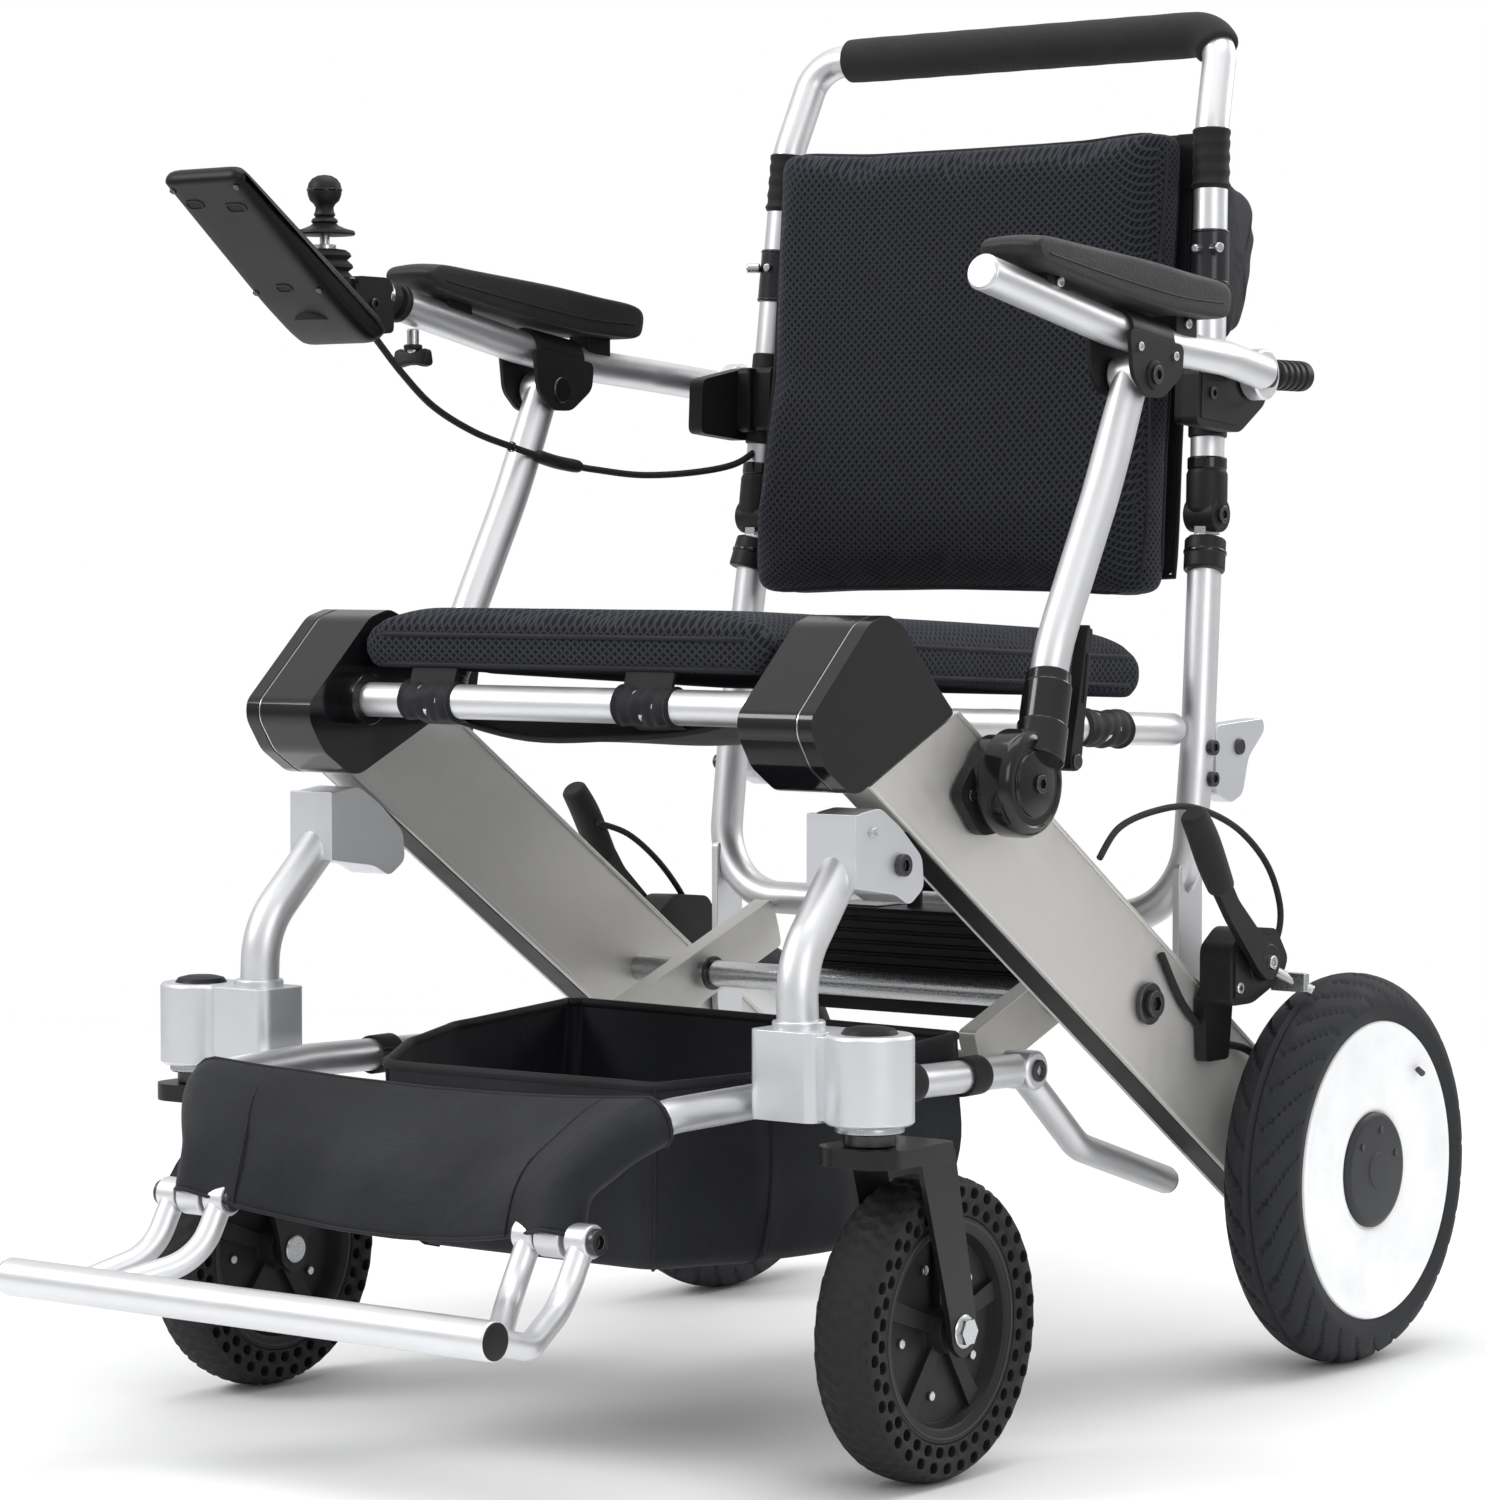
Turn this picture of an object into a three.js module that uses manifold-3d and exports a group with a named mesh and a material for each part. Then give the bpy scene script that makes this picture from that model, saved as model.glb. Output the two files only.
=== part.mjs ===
// Folding power wheelchair. Millimetres, +Z up, the chair faces -Y, the user's left is +X.
// Origin: on the floor, under the middle of the chair's overall length and width.
// Pieces are laid out from a datum Y_SHIFT in front of... the origin's own frame: see `layout`.
import * as THREE from 'three';
import { mergeVertices } from 'three/addons/utils/BufferGeometryUtils.js';
import Module from 'manifold-3d';

const wasm = await Module();
wasm.setup();

// ---------------------------------------------------------------- driving dimensions
// Two-number places are (y, z).
const Y_SHIFT = 59;                  // moves the layout datum to the middle of the length

const TRACK_X = 277;                 // half of the rear and front track
const WHEEL_R = 138;                 // rear tyre
const WHEEL_HALF_W = 28.5;
const RIM_R = 106;
const AXLE = [300, WHEEL_R];         // rear axle

const STEM_Y = -286;                 // caster stem
const CASTER_AXLE_Y = -225;
const CASTER_R = 96;
const CASTER_HALF_W = 22;

const BEAM_IN = 205;                 // side beam, inner and outer faces
const BEAM_OUT = 232;
const BEAM_HALF_H = 46;
const BEAM_DIR = [0.8342, -0.5514];  // along the side beam, rearwards and down
const MOUNT_X = BEAM_OUT + 0.4;      // inner face of what sits on the beam's outer face
const CROSS = [105, 267.4];          // scissor pivot

const SEAT_TUBE_R = 11.5;
const SEAT_X = 190;                  // seat rail, off the middle plane
const POST_R = 12;                   // back post radius
const BACK_HINGE = [238, 600];
const BACK_HINGE_X = 197;
const GRIP_PLACE = [290, 943];       // top bar of the back tube
const GRIP_R = 16.5;

const SIDE_TUBE_X = 187;             // lower side tubes
const SIDE_TUBE_R = 11;
const SIDE_TUBE_END = [20, 227];     // their rear end

const ARM_X = 252;                   // armrest plane
const ARM_R = 12;
const ARM_PIVOT = [255, 698];        // armrest rear pivot
const POST_TOP = [50, 691];          // armrest post, top pivot
const POST_FOOT = [-90, 426];        // armrest post, foot

const JOYSTICK = [-262, -175, 783];  // joystick pivot, (x, y, z)
const FOOT_PIVOT = [-426, 164];      // footrest pivot
const FOOT_EYE_X = 147;              // pivot eyes on the front frame

// ---------------------------------------------------------------- geometry and solids
// keeps positions only, welds them, drops collapsed triangles and turns the faces outwards
const cleaned = (source) => {
  let geometry = source.clone();
  for (const name of Object.keys(geometry.attributes)) {
    if (name !== 'position') geometry.deleteAttribute(name);
  }
  geometry = mergeVertices(geometry, 1e-3);
  const welded = geometry.index;
  const kept = [];
  for (let k = 0; k < welded.count; k += 3) {
    const triangle = [welded.getX(k), welded.getX(k + 1), welded.getX(k + 2)];
    if (new Set(triangle).size === 3) kept.push(...triangle);
  }
  const vertex = (k) =>
    new THREE.Vector3().fromBufferAttribute(geometry.attributes.position, kept[k]);
  let volume = 0;
  for (let k = 0; k < kept.length; k += 3) {
    volume += vertex(k).dot(vertex(k + 1).cross(vertex(k + 2)));
  }
  if (volume < 0) {
    for (let k = 0; k < kept.length; k += 3) {
      [kept[k], kept[k + 1]] = [kept[k + 1], kept[k]];
    }
  }
  geometry.setIndex(kept);
  geometry.clearGroups();
  return geometry;
};
const toSolid = (source) => {
  const geometry = cleaned(source);
  return new wasm.Manifold(new wasm.Mesh({
    numProp: 3,
    vertProperties: Float32Array.from(geometry.attributes.position.array),
    triVerts: Uint32Array.from(geometry.index.array),
  }));
};
const indexed = (positions, corners) => {
  const geometry = new THREE.BufferGeometry();
  geometry.setAttribute('position', new THREE.BufferAttribute(new Float32Array(positions), 3));
  geometry.setIndex(corners);
  return cleaned(geometry);
};
const toGeometry = (manifold) => {
  const mesh = manifold.getMesh();
  return indexed(mesh.vertProperties, Array.from(mesh.triVerts));
};
const join = (...parts) => toGeometry(parts.map(toSolid).reduce((sum, part) => sum.add(part)));
const cut = (base, ...tools) =>
  toGeometry(tools.map(toSolid).reduce((rest, tool) => rest.subtract(tool), toSolid(base)));
const mirror = (geometry) => cleaned(geometry.clone().scale(-1, 1, 1));
const both = (...parts) => [...parts, ...parts.map(mirror)];

// ---------------------------------------------------------------- points
const SIDES = [1, -1];               // left, right
const onSide = (side, points) => points.map(([x, ...rest]) => [side * x, ...rest]);
// left-hand points, then their mirror images in reverse order
const acrossChair = (points) => [...points, ...onSide(-1, points).reverse()];
// maps distances (along, across) a line through a (y, z) place to (y, z)
const lineFrame = ([y, z], [dirY, dirZ]) => (along, across) =>
  [y + dirY * along - dirZ * across, z + dirZ * along + dirY * across];
const unit = (y, z) => [y / Math.hypot(y, z), z / Math.hypot(y, z)];

// rounds the inner points of a polyline with arcs; `bends` holds one radius per inner point
const roundCorners = (points, bends, stepDegrees) => {
  const corners = points.map((point) => new THREE.Vector3(...point));
  const path = [corners[0]];
  for (let i = 1; i < corners.length - 1; i++) {
    const corner = corners[i];
    const radius = bends[i - 1] ?? 0;
    const back = corners[i - 1].clone().sub(corner).normalize();
    const ahead = corners[i + 1].clone().sub(corner).normalize();
    const turn = Math.PI - back.angleTo(ahead);
    if (radius <= 0 || turn < 0.03) {
      path.push(corner);
      continue;
    }
    const trim = radius * Math.tan(turn / 2);
    const inwards = back.clone().add(ahead).normalize();
    const centre = corner.clone().addScaledVector(inwards, radius / Math.cos(turn / 2));
    const start = corner.clone().addScaledVector(back, trim).sub(centre);
    const end = corner.clone().addScaledVector(ahead, trim).sub(centre);
    const axis = start.clone().cross(end).normalize();
    const steps = Math.max(1, Math.ceil(THREE.MathUtils.radToDeg(turn) / stepDegrees));
    for (let k = 0; k <= steps; k++) {
      path.push(centre.clone().add(start.clone().applyAxisAngle(axis, (turn * k) / steps)));
    }
  }
  path.push(corners[corners.length - 1]);
  return path;
};
// polyline for extruding along; its tangent at a corner halves the angle
class PathCurve extends THREE.Curve {
  constructor(points) {
    super();
    this.points = points;
  }
  getTangentAt(u) {
    const last = this.points.length - 1;
    const i = Math.round(u * last);
    const leg = (k) => this.points[k + 1].clone().sub(this.points[k]).normalize();
    const tangent = new THREE.Vector3();
    if (i > 0) tangent.add(leg(i - 1));
    if (i < last) tangent.add(leg(i));
    return tangent.normalize();
  }
  getSpacedPoints() {
    return this.points;
  }
}

// ---------------------------------------------------------------- shapes
const shapeOf = (points) => new THREE.Shape(points.map((point) => new THREE.Vector2(...point)));
const extrude = (shape, options) =>
  new THREE.ExtrudeGeometry(shape, { bevelEnabled: false, curveSegments: 1, ...options });
const tube = (points, radius, sides, bends = [], stepDegrees) => {
  const path = roundCorners(points, bends, stepDegrees);
  const section = shapeOf(Array.from({ length: sides }, (_, k) => {
    const angle = ((k + 0.5) / sides) * 2 * Math.PI;
    return [radius * Math.cos(angle), radius * Math.sin(angle)];
  }));
  section.closePath();
  return cleaned(extrude(section, { steps: path.length - 1, extrudePath: new PathCurve(path) }));
};
// a plate with its outline in (y, z)
const plate = (outline, xMin, xMax) => cleaned(extrude(shapeOf(outline), { depth: xMax - xMin })
  .applyMatrix4(new THREE.Matrix4().set(0, 0, 1, xMin, 1, 0, 0, 0, 0, 1, 0, 0, 0, 0, 0, 1)));
// a slab with its outline in (x, y)
const slab = (outline, zMin, zMax) =>
  cleaned(extrude(shapeOf(outline), { depth: zMax - zMin }).translate(0, 0, zMin));
// cylinders along Y, X and Z
const cylinder = (radius, length, sides) =>
  new THREE.CylinderGeometry(radius, radius, length, sides);
const disc = (xMin, xMax, radius, y, z, sides) =>
  cleaned(cylinder(radius, xMax - xMin, sides).rotateZ(-Math.PI / 2)
    .translate((xMin + xMax) / 2, y, z));
const drum = (x, y, zMin, zMax, radius, sides) =>
  cleaned(cylinder(radius, zMax - zMin, sides).rotateX(Math.PI / 2)
    .translate(x, y, (zMin + zMax) / 2));
const box = (xMin, xMax, yMin, yMax, zMin, zMax) =>
  cleaned(new THREE.BoxGeometry(xMax - xMin, yMax - yMin, zMax - zMin)
    .translate((xMin + xMax) / 2, (yMin + yMax) / 2, (zMin + zMax) / 2));
// turned pieces: profiles of (radius, x) about the X axis, (radius, z) about the Z axis
const lathe = (profile, sides) =>
  new THREE.LatheGeometry(profile.map((point) => new THREE.Vector2(...point)), sides);
const turnedX = (profile, sides) => cleaned(lathe(profile, sides).rotateZ(-Math.PI / 2));
const turnedZ = (profile, sides) => cleaned(lathe(profile, sides).rotateX(Math.PI / 2));
// a closed skin over equally long rings of points
const loft = (rings) => {
  const count = rings[0].length;
  const positions = rings.flat(2);
  const corners = [];
  for (let i = 0; i < rings.length - 1; i++) {
    for (let k = 0; k < count; k++) {
      const here = i * count + k;
      const next = i * count + ((k + 1) % count);
      corners.push(here, next, next + count, here, next + count, here + count);
    }
  }
  // both ends are closed by a fan about the mean of the ring
  for (const i of [0, rings.length - 1]) {
    const centre = positions.length / 3;
    for (let j = 0; j < 3; j++) {
      positions.push(rings[i].reduce((sum, point) => sum + point[j] / count, 0));
    }
    for (let k = 0; k < count; k++) {
      const edge = [i * count + k, i * count + ((k + 1) % count)];
      corners.push(centre, ...(i === 0 ? edge.reverse() : edge));
    }
  }
  return indexed(positions, corners);
};

// ---------------------------------------------------------------- materials and scene
const FINISHES = {
  silver: { color: 0xc9cacc, roughness: 0.35, metalness: 0.9 },
  beam: { color: 0xb9b7b1, roughness: 0.4, metalness: 0.7 },
  gloss: { color: 0x101113, roughness: 0.15, metalness: 0.1 },
  black: { color: 0x17181a, roughness: 0.55, metalness: 0 },
  rubber: { color: 0x1b1c1e, roughness: 0.85, metalness: 0 },
  white: { color: 0xf2f2f0, roughness: 0.4, metalness: 0 },
  fabric: { color: 0x1d1e22, roughness: 0.95, metalness: 0 },
  mesh: { color: 0x1c1f28, roughness: 0.9, metalness: 0 },
  foam: { color: 0x1a1a1b, roughness: 0.9, metalness: 0 },
  steel: { color: 0x8b8d90, roughness: 0.3, metalness: 1 },
};
const chair = new THREE.Group();
const layout = new THREE.Group();
layout.position.set(0, Y_SHIFT, 0);
chair.add(layout);
const put = (name, geometry, finish, position = [0, 0, 0]) => {
  const mesh = new THREE.Mesh(geometry, new THREE.MeshStandardMaterial(FINISHES[finish]));
  mesh.name = name;
  mesh.position.set(...position);
  layout.add(mesh);
};
// the left piece and its mirror image
const pair = (name, geometry, finish, [x, y, z] = [0, 0, 0]) => {
  put(`${name}_left`, geometry, finish, [x, y, z]);
  put(`${name}_right`, mirror(geometry), finish, [-x, y, z]);
};

// ---------------------------------------------------------------- side beams
{
  // (along, across) the beam from the rear axle, with a rounded rear end
  const outline = [
    [10, -BEAM_HALF_H], [26, -30], [34, -8], [34, 14], [22, 36], [8, BEAM_HALF_H],
    [-700, BEAM_HALF_H], [-700, -BEAM_HALF_H],
  ];
  const onBeam = lineFrame([AXLE[0], AXLE[1] + 0.5], BEAM_DIR);
  // the beam stops at the line where it meets its end cap
  const onCut = lineFrame([-233.5, 423.2], unit(104, 46.6));
  const beyond = [[-200, 0], [300, 0], [300, 400], [-200, 400]];
  pair('side_beam', cut(
    plate(outline.map((point) => onBeam(...point)), BEAM_IN, BEAM_OUT),
    plate(beyond.map((point) => onCut(...point)), BEAM_IN - 5, BEAM_OUT + 5),
    disc(BEAM_IN - 1, BEAM_OUT + 1, 10.4, ...CROSS, 20),
  ), 'beam');
}

// ---------------------------------------------------------------- seat
// seat frame: front tube and both side rails in one bent tube
const SEAT_FRONT = [-241, 475.5];
const seatTube = (radius) => tube(
  acrossChair([[SEAT_X, 205, 449.5], [SEAT_X, -90, 461.5], [SEAT_X, ...SEAT_FRONT]]),
  radius, 10, [0, 26, 26, 0], 32,
);
put('seat_frame', seatTube(SEAT_TUBE_R), 'silver');

// end caps: castings that join each beam to the seat frame
{
  const outline = [
    [-286.5, 462], [-286.5, 474], [-226, 530], [-206, 535.5], [-189, 529],
    [-166, 503], [-131.2, 471.5], [-235.3, 424.9], [-247, 425.5], [-272, 441],
  ];
  const body = join(plate(outline, 176, 234), disc(163, 178, 17.5, ...SEAT_FRONT, 20));
  pair('end_cap', cut(body, seatTube(SEAT_TUBE_R + 0.6)), 'gloss');
}

// seat cushion: crowned pad, narrower between the end caps
{
  const edge = 9;
  const stations = [ // y, half width, bottom z, top z
    [-250, 168, 499, 528], [-243, 171, 492.5, 536], [-128, 171, 484, 530],
    [-112, 190, 482.5, 528], [40, 190, 474, 521], [172, 190, 467, 514], [184, 186, 471, 507],
  ];
  put('seat_cushion', loft(stations.map(([y, half, bottom, top]) => acrossChair([
    [half - edge, y, bottom], [half, y, bottom + edge], [half, y, top - edge * 1.4],
    [half - edge * 1.6, y, top - 2], [half * 0.45, y, top],
  ]))), 'mesh');
}

// ---------------------------------------------------------------- lower back frame and pivot
// lower posts and cross tube in one bend, with hinge tongues and beam ears
{
  const path = acrossChair([[197, 237, 585], [203, 218, 445], [203, 201, 316]]);
  const ear = [[191, 356], [191, 232], [200, 214], [214, 208], [222, 214], [222, 356]];
  const tongueX = [BACK_HINGE_X - 4.6, BACK_HINGE_X + 4.6];
  put('lower_back_frame', join(
    tube(path, POST_R, 10, [90, 55, 55, 90], 32),
    ...both(
      box(...tongueX, 228.5, 248.5, 578, BACK_HINGE[1]),
      disc(...tongueX, 10.6, ...BACK_HINGE, 18),
      plate(ear, 199, 204.6),
    ),
  ), 'silver');
}

// shaft through the scissor pivot, with a head at each end
put('pivot_shaft', join(
  disc(-236.5, 236.5, 10, ...CROSS, 20),
  ...both(disc(MOUNT_X, 237, 14, ...CROSS, 20)),
), 'steel');

// ---------------------------------------------------------------- battery and its tray
{
  const profile = [
    [115.6, 247], [188.2, 247], [188.2, 300], [185.6, 300],
    [185.6, 249.6], [118.2, 249.6], [118.2, 272], [115.6, 272],
  ];
  put('battery_tray', plate(profile, -68, 140), 'black');

  // block with chamfered upright edges and a loop handle on top
  const outline = [
    [-57, 119], [129, 119], [135, 125], [135, 178.4],
    [129, 184.4], [-57, 184.4], [-63, 178.4], [-63, 125],
  ];
  const body = join(slab(outline, 250.2, 320), box(6, 66, 140, 160, 318, 340));
  put('battery', cut(body, box(12, 60, 130, 170, 322, 334)), 'black');
}

// ---------------------------------------------------------------- rear wheels
{
  const centre = [TRACK_X, ...AXLE];
  const tyre = [
    [RIM_R + 0.4, -23], [117, -WHEEL_HALF_W], [130, -25.5], [136.6, -14], [WHEEL_R, 0],
    [136.6, 14], [130, 25.5], [117, WHEEL_HALF_W], [RIM_R + 0.4, 23], [RIM_R + 0.4, -23],
  ];
  const rim = [
    [0, 25], [40, 25], [42, 22], [100, 23.5], [RIM_R, 21], [RIM_R, -21],
    [52, -18], [52, 0], [8.6, 0], [8.6, 14], [0, 14], [0, 25],
  ];
  const motor = [
    [0, -44.5], [34, -44.5], [50, -40], [50, -1.5], [8, -1.5], [8, 12], [0, 12], [0, -44.5],
  ];
  pair('rear_tyre', turnedX(tyre, 32), 'rubber', centre);
  pair('rear_wheel', turnedX(rim, 32), 'white', centre);
  pair('hub_motor', turnedX(motor, 22), 'black', centre);
}

// ---------------------------------------------------------------- parking brakes
{
  const pivot = [205, 290];
  const body = [
    [166, 262], [196, 262], [236, 276], [245, 290], [228, 312], [186, 315], [166, 302],
  ];
  const foot = [[168, 222], [198, 222], [204, 268], [166, 268]];
  pair('brake_housing', join(
    plate(body, 236, 262),
    plate(foot, MOUNT_X, 241),
    disc(255, 262.6, 15, ...pivot, 20),
  ), 'black');

  const arm = [
    [207, 280], [214, 296], [200, 305], [162, 336], [134, 372],
    [113, 402], [98, 396], [118, 362], [152, 322], [192, 283],
  ];
  pair('brake_lever', join(
    plate(arm, 264.4, 270.4),
    disc(263.2, 270.4, 13, ...pivot, 20),
    tube([[268, 138, 350], [268, 112, 388], [268, 103, 400]], 10.5, 12),
  ), 'black');
}

// ---------------------------------------------------------------- armrest post bases
{
  const flange = [[-118, 440], [-136, 420], [-110, 392], [-70, 395], [-64, 440]];
  pair('post_base', join(
    disc(MOUNT_X, 245.4, 31, ...POST_FOOT, 22),
    plate(flange, MOUNT_X, 240),
  ), 'black');
}

// ---------------------------------------------------------------- front frame
{
  const [endY, endZ] = SIDE_TUBE_END;
  const sidePath = [
    [SIDE_TUBE_X, endY, endZ], [SIDE_TUBE_X, -280, 235], [SIDE_TUBE_X - 5, -384, 233],
    [147.5, -417, 196], [FOOT_EYE_X, ...FOOT_PIVOT],
  ];
  // short bar running rearwards and down from the end of each side tube
  const barPath = [
    [SIDE_TUBE_X, endY - 6, endZ + 2], [SIDE_TUBE_X, 88, 168], [SIDE_TUBE_X, 204, 132],
  ];
  // web: scissor plate through the pivot, with a round rear end
  const onWeb = lineFrame(CROSS, [0.94, 0.342]);
  const webHalf = 19;
  const webEnd = Array.from({ length: 5 }, (_, k) => {
    const angle = THREE.MathUtils.degToRad(8.4 + (23.2 * k) / 4);
    return [CROSS[0] + 93 * Math.cos(angle), CROSS[1] + 93 * Math.sin(angle)];
  });
  const web = plate([onWeb(-100, -webHalf), ...webEnd, onWeb(-100, webHalf)], 144, 158);
  const frame = join(
    ...SIDES.map((side) => tube(onSide(side, sidePath), SIDE_TUBE_R, 10, [0, 60, 30], 32)),
    tube([[-SIDE_TUBE_X, endY, endZ], [SIDE_TUBE_X, endY, endZ]], 10, 10),
    ...SIDES.map((side) => tube(onSide(side, barPath), 10, 8, [45], 32)),
    ...both(web),
    ...both(disc(FOOT_EYE_X - 9.5, FOOT_EYE_X + 9.5, 12, ...FOOT_PIVOT, 18)),
  );
  put('front_frame', cut(frame, disc(-204, 204, 10.35, ...CROSS, 18)), 'silver');
}

// caster leg: clamp box on the side tube, leg tube and stop block under the beam
{
  const clamp = [
    [200, -303], [205, -308], [246, -308], [252, -302],
    [252, -270], [246, -264], [205, -264], [200, -269],
  ];
  const block = [
    [-238, 412], [-240, 366], [-196, 360], [-180, 352],
    [-164, 362], [-166, 382], [-190, 402], [-212, 415],
  ];
  const leg = [[224, STEM_Y, 270], [222, STEM_Y, 322], [216, -224, 385]];
  const body = join(
    slab(clamp, 228, 283),
    drum(TRACK_X, STEM_Y, 228, 283, 27.5, 22),
    tube(leg, 13, 12, [55], 18),
    plate(block, 197, 236),
  );
  pair('caster_leg', cut(
    body,
    drum(TRACK_X, STEM_Y, 220, 262, 12.4, 20),
    tube([[SIDE_TUBE_X, -200, 234], [SIDE_TUBE_X, -340, 235.5]], SIDE_TUBE_R + 0.5, 12),
  ), 'silver');
}

// ---------------------------------------------------------------- basket and calf strap
// basket: open-topped fabric bag, drawn in at the front between the swivelling wheels
{
  const frontY = -290;
  const rearY = -22;
  const middleY = (frontY + rearY) / 2;
  const plan = acrossChair([
    [112, frontY], [150, -215], [167, -150], [167, -30], [160, rearY],
  ]);
  // stations: z, plan scale about the middle, extra height at the rear
  const bag = (stations) => loft(stations.map(([z, scale, lift]) => plan.map(([x, y]) => [
    x * scale, middleY + (y - middleY) * scale, z + (lift * (y - frontY)) / (rearY - frontY),
  ])));
  put('basket', cut(
    bag([[118, 0.8, 0], [126, 0.9, 0], [185, 1, 0], [240, 1, 12]]),
    bag([[123, 0.78, 0], [131, 0.88, 0], [185, 0.97, 0], [270, 0.97, 14]]),
  ), 'fabric');
}

// calf strap: webbing between the front bends of the side tubes
{
  const stations = [ // x, sag rearwards, rise
    [-146, 0, 0], [-80, 16, -6], [0, 22, -9], [80, 16, -6], [146, 0, 0],
  ];
  put('calf_strap', loft(stations.map(([x, sag, rise]) => [
    [x, sag - 404, rise + 243], [x, sag - 398, rise + 241],
    [x * 0.86, sag - 425, rise + 177], [x * 0.86, sag - 431, rise + 179],
  ])), 'fabric');
}

// ---------------------------------------------------------------- casters
{
  const inner = TRACK_X - 29;
  const outer = TRACK_X + 28.5;
  const centre = [TRACK_X, CASTER_AXLE_Y, CASTER_R];
  const crown = [
    [inner, STEM_Y - 14], [TRACK_X - 16, STEM_Y - 25], [TRACK_X + 16, STEM_Y - 25],
    [outer, STEM_Y - 14], [outer, STEM_Y + 52], [inner, STEM_Y + 52],
  ];
  const blade = [
    [-274, 214], [-236, 214], [CASTER_AXLE_Y + 13, 104], [CASTER_AXLE_Y + 12, 86],
    [CASTER_AXLE_Y, 78], [CASTER_AXLE_Y - 12, 86], [CASTER_AXLE_Y - 15, 104],
  ];
  pair('caster_fork', join(
    slab(crown, 203, 215),
    plate(blade, inner, TRACK_X - 24.4),
    plate(blade, TRACK_X + 24.4, outer),
    disc(TRACK_X - 26, TRACK_X + 26, 5, CASTER_AXLE_Y, CASTER_R, 16),
    drum(TRACK_X, STEM_Y, 214, 224, 17, 24),
    drum(TRACK_X, STEM_Y, 222, 258, 11.5, 20),
    drum(TRACK_X, STEM_Y, 222.5, 227.4, 21, 24),
  ), 'black');

  const tyre = [
    [70.4, -19], [84, -CASTER_HALF_W], [92, -17.5], [95.2, -9], [CASTER_R, 0],
    [95.2, 9], [92, 17.5], [84, CASTER_HALF_W], [70.4, 19], [70.4, -19],
  ];
  const hub = [
    [5.4, -20], [14, -20], [16, -9], [58, -9], [62, -18], [70, -18], [70, 18],
    [62, 18], [58, 9], [16, 9], [14, 20], [5.4, 20], [5.4, -20],
  ];
  pair('caster_tyre', turnedX(tyre, 26), 'rubber', centre);
  pair('caster_hub', turnedX(hub, 26), 'black', centre);
}

// ---------------------------------------------------------------- footrest
// front bar carried by two arms on each side, each ending in a pivot eye
{
  const arms = [[188, 167.6], [164, 127]]; // x at the bar, x at the pivot
  let footrest = tube([[-197, -544, 123], [197, -544, 123]], 12, 14);
  for (const side of SIDES) {
    for (const [barX, eyeX] of arms) {
      const path = onSide(side, [
        [barX, -542, 123], [barX - 2, -500, 112], [eyeX, -447, 128], [eyeX, ...FOOT_PIVOT],
      ]);
      const eye = disc(side * eyeX - 8, side * eyeX + 8, 10.5, ...FOOT_PIVOT, 14);
      footrest = join(footrest, tube(path, 8, 8, [26, 44], 32), eye);
    }
  }
  put('footrest', footrest, 'silver');
}

// ---------------------------------------------------------------- folding back
// point on the left back post's axis, straight from the hinge to (185.5, 262, 872)
const postAt = (z) => {
  const [hingeY, hingeZ] = BACK_HINGE;
  const share = (z - hingeZ) / (872 - hingeZ);
  return [BACK_HINGE_X + (185.5 - BACK_HINGE_X) * share, hingeY + (262 - hingeY) * share, z];
};
{
  const path = acrossChair([postAt(626), postAt(872), [177, ...GRIP_PLACE]]);
  const collar = cut(
    join(
      drum(BACK_HINGE_X, 239.2, 600, 640, 14, 20),
      disc(BACK_HINGE_X - 12.4, BACK_HINGE_X + 12.4, 12.4, ...BACK_HINGE, 20),
      drum(BACK_HINGE_X, 238.4, 598, 604, 13, 20),
    ),
    box(BACK_HINGE_X - 5, BACK_HINGE_X + 5, 220, 256, 580, 613), // slot for the hinge tongue
  );
  put('back_tube', join(tube(path, POST_R, 10, [60, 26, 26, 60], 30), ...both(collar)), 'silver');
}
{
  const bore = POST_R + 0.7;
  const half = 149;
  const sleeve = [[bore, -half], [GRIP_R, -half], [GRIP_R, half], [bore, half], [bore, -half]];
  put('push_grip', turnedX(sleeve, 24), 'foam', [0, ...GRIP_PLACE]);
}
{
  const edge = 8;
  const stations = [ // z, half width, front y, rear y
    [537, 160, 196, 232], [545, 174, 185, 238], [600, 174, 187, 244],
    [700, 174, 204, 252], [862, 172, 216, 266], [872, 164, 222, 262],
  ];
  put('back_cushion', loft(stations.map(([z, half, front, rear]) => acrossChair([
    [half - edge, front, z], [half, front + edge, z],
    [half, rear - edge, z], [half - edge, rear, z],
  ]))), 'mesh');
}
{
  const clamp = [[226, 664], [262, 661], [272, 676], [272, 712], [228, 712]];
  const bore = tube([postAt(640), postAt(725)], POST_R + 0.5, 12);
  pair('arm_clamp', cut(plate(clamp, 177, 208), bore), 'black');

  const knuckle = [
    [184, 662], [242, 657], [277, 678], [284, 700], [272, 714], [240, 712], [186, 702],
  ];
  // stub pointing rearwards, y 276 to 330
  const stub = cleaned(cylinder(10, 54, 12).translate(220, 303, 699));
  pair('arm_knuckle', join(plate(knuckle, 208.6, 221.6), stub), 'black');
}

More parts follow.
